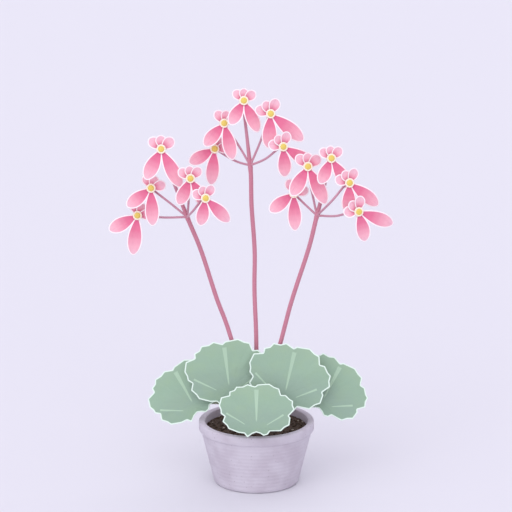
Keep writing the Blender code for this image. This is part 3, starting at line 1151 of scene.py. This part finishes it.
        def depth(vert: bmesh.types.BMVert) -> float:
            """Thins the blade towards its edge."""
            share = min(1.0, vert[margin] / 6.0)
            return self.edge_thickness + (self.thickness - self.edge_thickness) * share

        back = close_sheet(shape, shape.faces[:], depth, 0.00012)
        for face in back:
            face.material_index = 1
        bmesh.ops.transform(shape, matrix=site.pose(), verts=shape.verts[:])
        name = f"leaf_{site.name}"
        finishes = (LeafSkin(), LeafUnderside())
        finished(f"blade_{site.name}", shape, finishes, [name])

    def height(
        self,
        site: LeafSite,
        x: float,
        y: float,
        middle: float,
        share: float,
        away: float,
    ) -> float:
        """Gives the height of the blade's face at a place on it.

        Args:
            site: Leaf that the place is on.
            x: Distance to the right of the hub.
            y: Distance from the hub towards the tip.
            middle: Distance from the hub to the middle of the blade.
            share: Share of the way from the hub to the edge.
            away: Distance from the edge.

        Returns:
            Height above the hub.
        """
        turn = math.atan2(x / site.half_width, (y - middle) / site.half_length)
        dished = share**2 * (self.dish + self.wave * math.sin(turn * self.waves + site.seed))
        fan = math.atan2(x, y)
        crease = 1 - abs(math.sin(fan * self.pleats / 2))
        inland = min(1.0, away / 0.004)
        pleat = -self.pleat_height * crease**3 * inland * min(1.0, share * 2.5)
        bead = self.rim_height * max(0.0, 1 - (away / self.rim_width - 0.5) ** 2 * 4)
        return dished + pleat + bead

    def build_stalk(self, site: LeafSite) -> None:
        """Builds a leaf's stalk, from inside the rootstock to the back of the blade.

        Args:
            site: Leaf that the stalk carries.
        """
        pose = site.pose()
        outward = pose.to_3x3() @ UP
        foot = Vector(site.foot)
        collar = Vector((foot.x, foot.y, self.crown_top))
        seat = pose @ Vector((0.0, 0.0, -self.thickness * 0.8))
        neck = seat - outward * self.stalk_neck
        knots = (collar, collar.lerp(neck, 0.5) + Vector(site.bow), neck)
        points = [foot, *smooth_path(knots, UP, outward, 14), seat]

        def radius(share: float) -> float:
            """Widens the stalk a little at both ends."""
            return self.stalk_radius * (1 + 0.25 * max(0.0, abs(share - 0.5) * 2 - 0.8) / 0.2)

        shape = bmesh.new()
        length = sum((after - before).length for before, after in zip(points, points[1:]))
        Tube(
            points,
            radius,
            slender=lambda share: 0.25,
            hairs=int(length / MILLIMETRE * 5),
            seed=site.seed,
            hair_length_mm=0.8,
        ).add_to(shape)
        name = f"leaf_stalk_{site.name}"
        skin = StemSkin(
            name="Pale green petiole",
            thick="#A3AE93",
            thin="#A3AE93",
            streak="#B39A94",
        )
        finished(f"petiole_{site.name}", shape, (skin, Down()), [name])

    def build(self) -> None:
        """Builds every blade and its stalk."""
        for site in self.sites:
            self.build_blade(site)
            self.build_stalk(site)


@dataclass(frozen=True)
class Petal:
    """One petal: its aim clockwise from the flower's top, and its shape.

    The growth is the power of the flower's size that the petal's length follows. The fade is
    how soon it pales.
    """

    aim: float
    length: float
    half_width: float
    arch: float
    recurve: float
    twist: float
    growth: float = 1.0
    fade: float = 1.0


@dataclass(frozen=True)
class Bloom:
    """One flower of a head, placed from the fork of the stalk, as is its stem's bend."""

    place: tuple[float, float, float]
    bend: tuple[float, float, float]
    roll: float
    turn: float
    lift: float
    size: float


@dataclass
class FlowerHead:
    """One forked stalk with its five flowers."""

    name: str
    foot: tuple[float, float, float]
    bends: tuple[tuple[float, float, float], ...]
    fork: tuple[float, float, float]
    leader: int
    blooms: tuple[Bloom, ...]
    seed: int
    petals: tuple[Petal, ...] = (
        Petal(-49, 0.0101, 0.0038, 0.0004, -0.0008, twist=14, growth=0.5, fade=1.4),
        Petal(-3, 0.0088, 0.0036, 0.0004, -0.0010, twist=14, growth=0.5, fade=1.4),
        Petal(49, 0.0103, 0.0039, 0.0004, -0.0008, twist=14, growth=0.5, fade=1.4),
        Petal(153, 0.0254, 0.0048, 0.0010, 0.0016, twist=0),
        Petal(208, 0.0203, 0.0048, 0.0008, 0.0012, twist=0),
    )
    crown_top: float = 0.0455
    stalk_radius: float = 0.00145
    pedicel_radius: float = 0.00075
    pedicel_sink: float = 0.7
    petal_columns: int = 14
    petal_rows: int = 40
    petal_skew: float = 1.4
    petal_bluntness: float = 0.52
    petal_start: float = 0.04
    petal_end: float = 0.9985
    petal_cup: float = 0.0004
    petal_seat: float = -0.0006
    petal_thickness: float = 0.0006
    petal_edge: float = 0.0003
    hub_radius: float = 0.0023
    hub_front: float = 0.0005
    hub_back: float = -0.0015
    gap: float = 0.0003
    eye_ring_radius: float = 0.00305
    eye_disc_radius: float = 0.002
    eye_ring_height: float = 0.0006
    eye_disc_height: float = 0.0011
    calyx_tip: float = 0.0036
    calyx_notch: float = 0.0017
    calyx_back: float = 0.0011
    calyx_height: float = 0.0014
    calyx_sink: float = 0.8

    def pose(self, bloom: Bloom) -> Matrix:
        """Gives the pose of a flower, whose front is +Z and top is +Y in its own frame."""
        roll = Matrix.Rotation(math.radians(-bloom.roll), 4, "Z")
        look_up = Matrix.Rotation(math.radians(90 - bloom.lift), 4, "X")
        turn = Matrix.Rotation(math.radians(bloom.turn), 4, "Z")
        place = Vector(self.fork) + Vector(bloom.place)
        return Matrix.Translation(place) @ turn @ look_up @ roll

    def petal_half_width(self, petal: Petal, size: float, along: float) -> float:
        """Gives a petal's half width at a share of its length: a claw, a body, a blunt tip."""
        swell = max(0.0, math.sin(math.pi * along**self.petal_skew))
        return petal.half_width * math.sqrt(size) * swell**self.petal_bluntness

    def add_petal(
        self,
        shape: bmesh.types.BMesh,
        petal: Petal,
        size: float,
        seed: int,
    ) -> None:
        """Adds one petal: a fine sheet with a channelled middle, closed at the back.

        Args:
            shape: Mesh in the making.
            petal: Shape of the petal.
            size: Share of its usual length.
            seed: Seed of its slight ripple.
        """
        layers = shape.verts.layers
        along_layer, margin = layers.float["along"], layers.float["margin"]
        flat = layers.float_vector["flat"]
        length = petal.length * size**petal.growth
        span = self.petal_end - self.petal_start
        sheet = bmesh.ops.create_grid(
            shape, x_segments=self.petal_columns, y_segments=self.petal_rows, size=1.0
        )["verts"]
        steps = np.linspace(0.0, 1.0, 90)
        shares = self.petal_start + span * steps * (2 - steps)
        right = [(self.petal_half_width(petal, size, share), share * length) for share in shares]
        left = [(-across, up) for across, up in right]
        edge = np.array(right + left[::-1])
        places = []
        twist = Matrix.Rotation(math.radians(petal.twist), 3, "Y")
        aim = Matrix.Rotation(math.radians(-petal.aim), 3, "Z")
        ripple_from = seed * 1.7 + petal.aim
        for vert in sheet:
            side = 1.5 * vert.co.x - 0.5 * vert.co.x**3
            step = (vert.co.y + 1) / 2
            along = self.petal_start + span * step * (2 - step)
            width = self.petal_half_width(petal, size, along)
            swell = math.sin(math.pi * min(1.0, along))
            height = 4 * petal.arch * along * (1 - along) - petal.recurve * along**3
            height += self.petal_cup * side**2 * swell
            height -= 0.00016 * math.exp(-((side / 0.16) ** 2)) * swell
            height += 0.00012 * side * math.sin(along * 7 + ripple_from) * swell
            height -= 0.00008 * side**8
            places.append((width * side, length * along))
            vert[along_layer] = along * petal.fade
            vert[flat] = (width * side / MILLIMETRE, length * along / MILLIMETRE, ripple_from)
            spot = twist @ Vector((width * side, 0.0, height))
            vert.co = aim @ (spot + Vector((0.0, length * along, self.petal_seat)))
        for vert, away in zip(sheet, edge_distances(np.array(places), edge)):
            vert[margin] = away / MILLIMETRE

        def depth(vert: bmesh.types.BMVert) -> float:
            """Thins the petal towards its edge."""
            share = min(1.0, vert[margin] / 2.0)
            return self.petal_edge + (self.petal_thickness - self.petal_edge) * share

        faces = list({face for vert in sheet for face in vert.link_faces})
        close_sheet(shape, faces, depth, 0.0001)

    def build_corolla(self, bloom: Bloom, number: int) -> None:
        """Builds a flower's five petals and the small hub that their claws share.

        Args:
            bloom: Flower to build.
            number: Its number in the head.
        """
        shape = bmesh.new()
        shape.verts.layers.float.new("along")
        margin = shape.verts.layers.float.new("margin")
        shape.verts.layers.float_vector.new("flat")
        hub = bmesh.ops.create_cone(
            shape,
            cap_ends=True,
            segments=32,
            radius1=self.hub_radius * 0.8,
            radius2=self.hub_radius,
            depth=self.hub_front - self.hub_back,
            matrix=Matrix.Translation((0.0, 0.0, (self.hub_front + self.hub_back) / 2)),
        )["verts"]
        for vert in hub:
            vert[margin] = 5.0
        for petal in self.petals:
            self.add_petal(shape, petal, bloom.size, self.seed * 10 + number)
        bmesh.ops.transform(shape, matrix=self.pose(bloom), verts=shape.verts[:])
        name = f"petals_{self.name}_{number}"
        finished(f"corolla_{self.name}_{number}", shape, (PetalSkin(),), [name])

    def build_eye(self, bloom: Bloom, number: int) -> None:
        """Builds a flower's eye: a domed disc in a low ring of ten soft lobes.

        Args:
            bloom: Flower that it belongs to.
            number: Its number in the head.
        """
        back = self.hub_front + self.gap
        ring_middle = (self.eye_ring_radius + self.eye_disc_radius) / 2
        ring_half = (self.eye_ring_radius - self.eye_disc_radius) / 2
        profile = [(0.0, back), (self.eye_ring_radius - 0.0001, back)]
        for step in range(9):
            angle = math.pi * step / 8
            rise = back + 0.0002 + (self.eye_ring_height - 0.0002) * math.sin(angle)
            profile.append((ring_middle + ring_half * math.cos(angle), rise))
        for step in range(9):
            angle = math.pi / 2 * step / 8
            rise = back + 0.0004 + (self.eye_disc_height - 0.0004) * math.sin(angle)
            profile.append((self.eye_disc_radius * math.cos(angle), rise))
        shape = bmesh.new()
        line = [shape.verts.new((radius, 0.0, height)) for radius, height in profile]
        edges = [shape.edges.new(pair) for pair in zip(line, line[1:])]
        bmesh.ops.spin(
            shape,
            geom=line + edges,
            axis=(0, 0, 1),
            cent=(0, 0, 0),
            angle=math.tau,
            steps=60,
            use_merge=True,
        )
        bmesh.ops.remove_doubles(shape, verts=shape.verts[:], dist=1e-6)
        for vert in shape.verts:
            out = math.hypot(vert.co.x, vert.co.y)
            lobe = math.cos(10 * math.atan2(vert.co.y, vert.co.x))
            if out > self.eye_disc_radius * 1.02 and vert.co.z > back + 0.0001:
                vert.co.z += 0.00009 * (lobe - 1)
        for face in shape.faces:
            middle = face.calc_center_median()
            if math.hypot(middle.x, middle.y) > self.eye_disc_radius * 0.985:
                face.material_index = 1
        bmesh.ops.transform(shape, matrix=self.pose(bloom), verts=shape.verts[:])
        disc = GrainedSkin(name="Yellow nectar disc", roughness=0.5)
        ring = GrainedSkin(
            name="Cream stamen ring",
            roughness=0.6,
            colour="#F8EFDC",
            shade="#F0E4C8",
            grain_mm=0.6,
            relief_mm=0.04,
        )
        name = f"eye_{self.name}_{number}"
        finished(f"boss_{self.name}_{number}", shape, (disc, ring), [name])

    def add_calyx(self, shape: bmesh.types.BMesh, pose: Matrix) -> None:
        """Adds a flower's calyx: a shallow cup that opens into five pointed sepals.

        Args:
            shape: Mesh in the making.
            pose: Pose of the flower.
        """
        slender = shape.verts.layers.float["slender"]
        stem = shape.verts.layers.float_vector["stem"]
        front = self.hub_back - self.gap
        levels = (
            (0.0, self.calyx_back, 0.0),
            (0.35, self.calyx_back * 1.25, 0.1),
            (0.7, self.calyx_notch, 0.5),
            (0.9, self.calyx_notch, 0.9),
            (1.0, self.calyx_notch, 1.0),
        )
        ring = bmesh.ops.create_circle(shape, segments=40, radius=1.0)["verts"]
        edges = list({edge for vert in ring for edge in vert.link_edges})
        caps = list(edges)
        made = list(ring)
        for index, (rise, notch, pointed) in enumerate(levels):
            if index:
                grown = bmesh.ops.extrude_edge_only(shape, edges=edges)["geom"]
                ring = [item for item in grown if isinstance(item, bmesh.types.BMVert)]
                inside = set(ring)
                edges = list(
                    {edge for vert in ring for edge in vert.link_edges if set(edge.verts) <= inside}
                )
                made += ring
            for vert in ring:
                angle = math.atan2(vert.co.x, vert.co.y)
                point = max(0.0, math.cos(angle * 5)) ** 1.5 * pointed
                radius = notch + (self.calyx_tip - notch) * point
                height = front - self.calyx_height * (1 - rise)
                vert.co = (radius * math.sin(angle), radius * math.cos(angle), height)
                vert[slender] = 0.4
                vert[stem] = (vert.co.x / MILLIMETRE, vert.co.y / MILLIMETRE, 0.0)
        bmesh.ops.edgeloop_fill(shape, edges=caps)
        bmesh.ops.edgeloop_fill(shape, edges=edges)
        bmesh.ops.transform(shape, matrix=pose, verts=made)

    def add_pedicel(self, shape: bmesh.types.BMesh, bloom: Bloom, number: int) -> None:
        """Adds a flower's own stem, from inside the fork to inside the calyx.

        Args:
            shape: Mesh in the making.
            bloom: Flower that it carries.
            number: Its number in the head.
        """
        pose = self.pose(bloom)
        fork = Vector(self.fork)
        bend = Vector(bloom.bend)
        front = pose.to_3x3() @ UP
        back = self.hub_back - self.gap - self.calyx_height * self.calyx_sink
        seat = pose @ Vector((0.0, 0.0, back))
        leads = number == self.leader + 1
        thick = self.stalk_radius if leads else self.pedicel_radius
        root = fork - bend.normalized() * thick * self.pedicel_sink

        def radius(share: float) -> float:
            """Tapers the stem, with a small flare where it leaves the fork."""
            flare = 1 + (0.0 if leads else 0.45) * max(0.0, 1 - share / 0.14) ** 2
            return (thick + (self.pedicel_radius - thick) * share) * flare

        points = smooth_path((root, fork + bend, seat), bend, front, 14)
        length = sum((after - before).length for before, after in zip(points, points[1:]))
        Tube(
            points,
            radius,
            sides=12,
            slender=lambda share: min(1.0, 0.5 + share) if not leads else share,
            hairs=int(length / MILLIMETRE * 3),
            seed=self.seed * 100 + number,
            hair_length_mm=0.5,
            hair_width_mm=0.07,
        ).add_to(shape)

    def build_stalk(self) -> None:
        """Builds the stalk with its branches and the calyx at the end of each."""
        foot = Vector(self.foot)
        collar = Vector((foot.x, foot.y, self.crown_top))
        fork = Vector(self.fork)
        leading = Vector(self.blooms[self.leader].bend)
        knots = (collar, *(Vector(bend) for bend in self.bends), fork)
        points = [foot, *smooth_path(knots, UP, leading, 18)]

        def radius(share: float) -> float:
            """Swells the stalk a little at its foot and at the node below the fork."""
            foot_swell = 0.3 * max(0.0, 1 - share / 0.12) ** 2
            node_swell = 0.14 * math.exp(-(((share - 0.99) / 0.014) ** 2))
            return self.stalk_radius * (1 + foot_swell + node_swell)

        shape = bmesh.new()
        Tube(points, radius, sides=18, hairs=620, seed=self.seed).add_to(shape)
        for number, bloom in enumerate(self.blooms, start=1):
            self.add_pedicel(shape, bloom, number)
            self.add_calyx(shape, self.pose(bloom))
        name = f"flower_stalk_{self.name}"
        finished(f"scape_{self.name}", shape, (StemSkin(), Down()), [name])

    def build(self) -> None:
        """Builds the stalk, then each flower."""
        self.build_stalk()
        for number, bloom in enumerate(self.blooms, start=1):
            self.build_corolla(bloom, number)
            self.build_eye(bloom, number)


HEADS = (
    FlowerHead(
        name="left",
        foot=(-0.0035, 0.002, 0.036),
        bends=((-0.0173, 0.0092, 0.097), (-0.0262, 0.009, 0.1228), (-0.0362, 0.007, 0.1556)),
        fork=(-0.045, 0.005, 0.1785),
        leader=0,
        blooms=(
            Bloom((-0.0163, -0.006, 0.0465), (-0.007, -0.001, 0.019), 0, 3, 16, 1.08),
            Bloom((-0.0234, 0.001, 0.0190), (-0.010, 0.005, 0.0071), 25, 4, 13, 0.97),
            Bloom((-0.0326, 0.007, -0.0007), (-0.016, 0.009, -0.0026), 34, 2, 9, 1.04),
            Bloom((0.0025, -0.014, 0.0290), (0.001, -0.003, 0.010), -3, 8, 10, 0.92),
            Bloom((0.0123, -0.024, 0.0185), (0.004, -0.0185, 0.0084), -17, 12, 8, 0.9),
        ),
        seed=1,
    ),
    FlowerHead(
        name="centre",
        foot=(0.0, 0.0055, 0.036),
        bends=(
            (-0.0001, 0.0115, 0.092),
            (-0.0013, 0.0142, 0.1265),
            (-0.0012, 0.0161, 0.1533),
            (-0.0032, 0.0183, 0.1828),
        ),
        fork=(-0.0041, 0.020, 0.2094),
        leader=2,
        blooms=(
            Bloom((-0.0232, 0.009, 0.0090), (-0.010, 0.009, 0.001), 33, 2, 11, 0.95),
            Bloom((-0.0169, 0.003, 0.0274), (-0.0073, 0.004, 0.012), 14, 3, 14, 0.965),
            Bloom((-0.0041, -0.004, 0.0438), (-0.002, 0.001, 0.018), 3, 5, 18, 0.88),
            Bloom((0.0131, -0.012, 0.0369), (0.0068, -0.003, 0.017), -23, 9, 14, 1.1),
            Bloom((0.0212, -0.020, 0.0170), (0.010, -0.007, 0.006), -30.5, 12, 10, 0.98),
        ),
        seed=2,
    ),
    FlowerHead(
        name="right",
        foot=(0.0035, 0.002, 0.036),
        bends=((0.0162, 0.005, 0.0948), (0.0232, 0.0018, 0.1234), (0.0338, -0.0023, 0.159)),
        fork=(0.0391, -0.003, 0.1815),
        leader=2,
        blooms=(
            Bloom((-0.0150, 0.004, 0.0138), (-0.007, 0.005, 0.0055), 25, 2, 11, 0.97),
            Bloom((-0.0062, -0.006, 0.0339), (-0.003, 0.001, 0.014), 2, 6, 13, 1.06),
            Bloom((0.0086, -0.013, 0.0409), (0.0045, 0.0005, 0.018), -3, 8, 14, 0.88),
            Bloom((0.0200, -0.022, 0.0270), (0.009, -0.016, 0.0135), -24, 11, 10, 0.97),
            Bloom((0.0257, -0.030, 0.0101), (0.012, -0.015, 0.0035), -41, 14, 7, 1.0),
        ),
        seed=3,
    ),
)


@dataclass
class Pot:
    """A low tapered pan, thrown on a wheel, with a plain lip and three drain holes."""

    height: float = 0.042
    rim_radius: float = 0.038
    base_radius: float = 0.028
    wall: float = 0.003
    floor: float = 0.004
    lip_height: float = 0.006
    lip_proud: float = 0.0012
    edge: float = 0.0012
    drain_radius: float = 0.003
    drain_circle: float = 0.015
    drain_holes: int = 3
    sides: int = 144
    ring_spacing: float = 0.0026
    ring_depth: float = 0.00009

    def wall_radius(self, height: float) -> float:
        """Gives the outer radius of the wall at a height."""
        rise = height / (self.height - self.lip_height)
        return self.base_radius + (self.rim_radius - self.lip_proud - self.base_radius) * rise

    def profile(self) -> list[tuple[float, float]]:
        """Draws the pot's section, from the middle of its base round to the middle of its floor."""
        lip_foot = self.height - self.lip_height
        inside = self.rim_radius - self.lip_proud - self.wall
        line = [(0.0, 0.0), (self.base_radius - self.edge, 0.0)]
        for step in range(1, 5):
            angle = math.pi / 2 * step / 5
            line.append(
                (
                    self.base_radius - self.edge * (1 - math.sin(angle)),
                    self.edge * (1 - math.cos(angle)),
                )
            )
        wall_steps = 48
        for step in range(wall_steps + 1):
            height = self.edge + (lip_foot - self.lip_proud - self.edge) * step / wall_steps
            turning = math.cos(math.tau * height / self.ring_spacing) - 1
            line.append((self.wall_radius(height) + self.ring_depth * turning, height))
        line.append((self.rim_radius - 0.0003, lip_foot - 0.0002))
        line.append((self.rim_radius, lip_foot + 0.0003))
        middle = (self.rim_radius + inside) / 2
        half = (self.rim_radius - inside) / 2
        for step in range(13):
            angle = math.pi * step / 12
            line.append(
                (
                    middle + half * math.cos(angle),
                    self.height - self.edge * (1 - math.sin(angle) ** 0.7),
                )
            )
        line.append((inside, lip_foot))
        line.append((self.wall_radius(self.floor) - self.wall, self.floor))
        line.append((0.0, self.floor))
        return line

    def build(self) -> None:
        """Turns the pot and cuts its drain holes."""
        shape = bmesh.new()
        line = [shape.verts.new((radius, 0.0, height)) for radius, height in self.profile()]
        edges = [shape.edges.new(pair) for pair in zip(line, line[1:])]
        bmesh.ops.spin(
            shape,
            geom=line + edges,
            axis=(0, 0, 1),
            cent=(0, 0, 0),
            angle=math.tau,
            steps=self.sides,
            use_merge=True,
        )
        bmesh.ops.remove_doubles(shape, verts=shape.verts[:], dist=1e-6)
        piece = finished("thrown_pot", shape, (Stoneware(),), ["pot"])
        cutter_shape = bmesh.new()
        for hole in range(self.drain_holes):
            angle = math.tau * hole / self.drain_holes + math.pi / 2
            place = (
                self.drain_circle * math.cos(angle),
                self.drain_circle * math.sin(angle),
                self.floor / 2,
            )
            bmesh.ops.create_cone(
                cutter_shape,
                cap_ends=True,
                segments=32,
                radius1=self.drain_radius,
                radius2=self.drain_radius,
                depth=self.floor * 2,
                matrix=Matrix.Translation(place),
            )
        cutter_mesh = bpy.data.meshes.new("drain_cutter")
        cutter_shape.to_mesh(cutter_mesh)
        cutter_shape.free()
        cutter = bpy.data.objects.new("drain_cutter", cutter_mesh)
        bpy.context.scene.collection.objects.link(cutter)
        cut = piece.modifiers.new("drains", "BOOLEAN")
        cut.operation = "DIFFERENCE"
        cut.solver = "EXACT"
        cut.object = cutter
        graph = bpy.context.evaluated_depsgraph_get()
        result = bpy.data.meshes.new_from_object(piece.evaluated_get(graph))
        piece.modifiers.clear()
        piece.data = result
        result.shade_smooth()
        result.set_sharp_from_angle(angle=math.radians(55))
        bpy.data.objects.remove(cutter, do_unlink=True)


@dataclass
class SoilBed:
    """The potting mix that fills the pot: a rough, slightly mounded top with crumbs on it."""

    inside: float = 0.0335
    floor: float = 0.0043
    floor_radius: float = 0.0256
    lip_foot: float = 0.036
    top: float = 0.037
    mound: float = 0.0015
    edge: float = 0.002
    pit_radius: float = 0.0118
    sides: int = 120
    crumbs: int = 300
    grit: int = 26
    seed: int = 11

    def surface(self, x: float, y: float) -> float:
        """Gives the height of the soil's top at a place on it."""
        out = math.hypot(x, y)
        inwards = (self.inside - out) / (self.inside - self.pit_radius)
        rise = self.mound * min(1.0, max(0.0, inwards))
        rough = noise.fractal(Vector((x, y, 0.0)) * 380, 0.8, 2.2, 4) * 0.00035
        return self.top + rise + rough - 0.0004 * max(0.0, 1 - (self.inside - out) / self.edge)

    def build(self) -> None:
        """Turns the bed, roughens its top and scatters crumbs and grit on it."""
        shape = bmesh.new()
        profile = [(0.0, self.floor), (self.floor_radius, self.floor), (self.inside, self.lip_foot)]
        rings = 36
        for step in range(rings + 1):
            profile.append((self.inside * (1 - step / rings), self.top))
        line = [shape.verts.new((radius, 0.0, height)) for radius, height in profile]
        edges = [shape.edges.new(pair) for pair in zip(line, line[1:])]
        bmesh.ops.spin(
            shape,
            geom=line + edges,
            axis=(0, 0, 1),
            cent=(0, 0, 0),
            angle=math.tau,
            steps=self.sides,
            use_merge=True,
        )
        bmesh.ops.remove_doubles(shape, verts=shape.verts[:], dist=1e-6)
        for vert in shape.verts:
            if vert.co.z > self.top - 0.0001:
                vert.co.z = self.surface(vert.co.x, vert.co.y)
        draw = random.Random(self.seed)
        for index in range(self.crumbs + self.grit):
            is_grit = index >= self.crumbs
            out = math.sqrt(draw.uniform(0.11, 0.92)) * self.inside
            angle = draw.uniform(0.0, math.tau)
            x, y = out * math.cos(angle), out * math.sin(angle)
            size = draw.uniform(0.0004, 0.0013) if not is_grit else draw.uniform(0.0005, 0.0011)
            spin = Matrix.Rotation(draw.uniform(0.0, math.tau), 4, draw.choice("XYZ"))
            squash = Matrix.Diagonal((1.0, draw.uniform(0.6, 1.0), draw.uniform(0.5, 0.9), 1.0))
            place = Matrix.Translation((x, y, self.surface(x, y) + size * 0.25))
            lump = bmesh.ops.create_icosphere(
                shape, subdivisions=1, radius=size, matrix=place @ spin @ squash
            )["verts"]
            for vert in lump:
                vert.co += Vector((draw.uniform(-1, 1), draw.uniform(-1, 1), 0.0)) * size * 0.18
            if is_grit:
                for face in {face for vert in lump for face in vert.link_faces}:
                    face.material_index = 1
        mix = Earth(name="Moist potting mix", roughness=0.95)
        grit = Earth(
            name="Pale grit",
            roughness=0.85,
            dark="#9C9286",
            light="#CFC6B8",
            lump_mm=0.8,
            relief_mm=0.2,
        )
        finished("soil_bed", shape, (mix, grit), ["soil"])


@dataclass
class Rootstock:
    """The short rootstock that every stalk springs from, sheathed in old leaf bases."""

    radius: float = 0.0115
    low: float = 0.031
    shoulder: float = 0.0385
    top: float = 0.0455
    sides: int = 96
    rings: int = 24
    scales: int = 14
    seed: int = 5

    def build(self) -> None:
        """Turns the mound, folds it into overlapping old leaf bases and roughens it."""
        shape = bmesh.new()
        profile = [(0.0, self.low), (self.radius, self.low), (self.radius, self.shoulder)]
        for step in range(1, self.rings + 1):
            angle = math.pi / 2 * step / self.rings
            rise = self.shoulder + (self.top - self.shoulder) * math.sin(angle)
            profile.append((self.radius * math.cos(angle) ** 0.8, rise))
        line = [shape.verts.new((radius, 0.0, height)) for radius, height in profile]
        edges = [shape.edges.new(pair) for pair in zip(line, line[1:])]
        bmesh.ops.spin(
            shape,
            geom=line + edges,
            axis=(0, 0, 1),
            cent=(0, 0, 0),
            angle=math.tau,
            steps=self.sides,
            use_merge=True,
        )
        bmesh.ops.remove_doubles(shape, verts=shape.verts[:], dist=1e-6)
        for vert in shape.verts:
            if vert.co.z < self.low + 0.0001:
                continue
            angle = math.atan2(vert.co.y, vert.co.x)
            rise = (vert.co.z - self.shoulder) / (self.top - self.shoulder)
            fold = abs(math.sin(angle * self.scales / 2 + math.floor(rise * 3) * 0.9))
            rough = noise.fractal(vert.co * 500, 0.8, 2.1, 4) * 0.0002
            push = (fold * 0.0005 - 0.0006 + rough) * min(1.0, 1.4 - 0.9 * max(0.0, rise))
            out = Vector((vert.co.x, vert.co.y, 0.0))
            if out.length > 1e-6:
                vert.co += out.normalized() * push
        bark = Earth(
            name="Old reddish rootstock",
            roughness=0.85,
            dark="#5A3530",
            light="#8F5F55",
            lump_mm=1.5,
            relief_mm=0.25,
        )
        finished("rootstock", shape, (bark,), ["crown"])


@dataclass
class Studio:
    """A plain pale floor under even light, and the camera at the picture's angle.

    The sky gives the same light from all round. The floor's albedo is such that it looks
    just like the sky, so no horizon shows.
    """

    sky: str = "#E9E6F7"
    suns: tuple[tuple[tuple[float, float, float], float], ...] = (
        ((-0.174, -0.897, 0.407), 0.35),
        ((-0.50, -0.55, 0.80), 0.15),
        ((0.35, 0.80, 0.50), 0.18),
    )
    sun_softness: float = 75.0
    floor_radius: float = 15.0
    target: tuple[float, float, float] = (-0.0003, 0.0, 0.1536)
    elevation: float = 15.0
    distance: float = 1.8
    pixel: float = 0.00065
    frame_pixels: int = 512

    def floor_albedo(self) -> tuple[float, ...]:
        """Gives the albedo that makes the lit floor as bright as the sky."""
        fall = sum(strength * Vector(way).normalized().z for way, strength in self.suns)
        return tuple(light / (light + fall) for light in linear(self.sky)[:3])

    def build(self) -> None:
        """Lays the floor, hangs the lights and places the camera."""
        scene = bpy.context.scene
        scene.view_settings.view_transform = "Standard"
        world = bpy.data.worlds.new("even_sky")
        world.use_nodes = True
        background = world.node_tree.nodes["Background"]
        background.inputs["Color"].default_value = linear(self.sky)
        background.inputs["Strength"].default_value = 1.0
        scene.world = world
        shape = bmesh.new()
        bmesh.ops.create_circle(shape, cap_ends=True, segments=64, radius=self.floor_radius)
        bmesh.ops.translate(shape, verts=shape.verts[:], vec=(0.0, 0.0, -0.0002))
        data = bpy.data.meshes.new("studio_floor")
        shape.to_mesh(data)
        shape.free()
        data.materials.append(PlainPaper(albedo=self.floor_albedo()).material())
        floor = bpy.data.objects.new("studio_floor", data)
        scene.collection.objects.link(floor)
        for number, (way, strength) in enumerate(self.suns):
            light = bpy.data.lights.new(f"soft_sun_{number}", "SUN")
            light.energy = strength * math.pi
            light.angle = math.radians(self.sun_softness)
            lamp = bpy.data.objects.new(f"soft_sun_{number}", light)
            lamp.rotation_euler = Vector(way).to_track_quat("Z", "Y").to_euler()
            scene.collection.objects.link(lamp)
        lens = bpy.data.cameras.new("camera")
        lens.sensor_width = 36.0
        lens.lens = lens.sensor_width * self.distance / (self.frame_pixels * self.pixel)
        lens.clip_end = 40.0
        camera = bpy.data.objects.new("camera", lens)
        tilt = math.radians(self.elevation)
        back = Vector((0.0, -math.cos(tilt), math.sin(tilt)))
        camera.location = Vector(self.target) + back * self.distance
        camera.rotation_euler = back.to_track_quat("Z", "Y").to_euler()
        scene.collection.objects.link(camera)
        scene.camera = camera


def corners(bounds: Iterable[Sequence[float]]) -> list[list[float]]:
    """Turns a box's two corners into plain lists."""
    return [[float(value) for value in corner] for corner in bounds]


def main() -> None:
    """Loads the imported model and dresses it, one sub-assembly after the other."""
    logging.basicConfig(level=logging.INFO, format="%(message)s")
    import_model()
    builders = [Studio(), Pot(), SoilBed(), Rootstock(), Foliage(), *HEADS]
    for builder in builders:
        builder.build()
        LOG.info("built %s", type(builder).__name__)


if __name__ == "__main__":
    main()
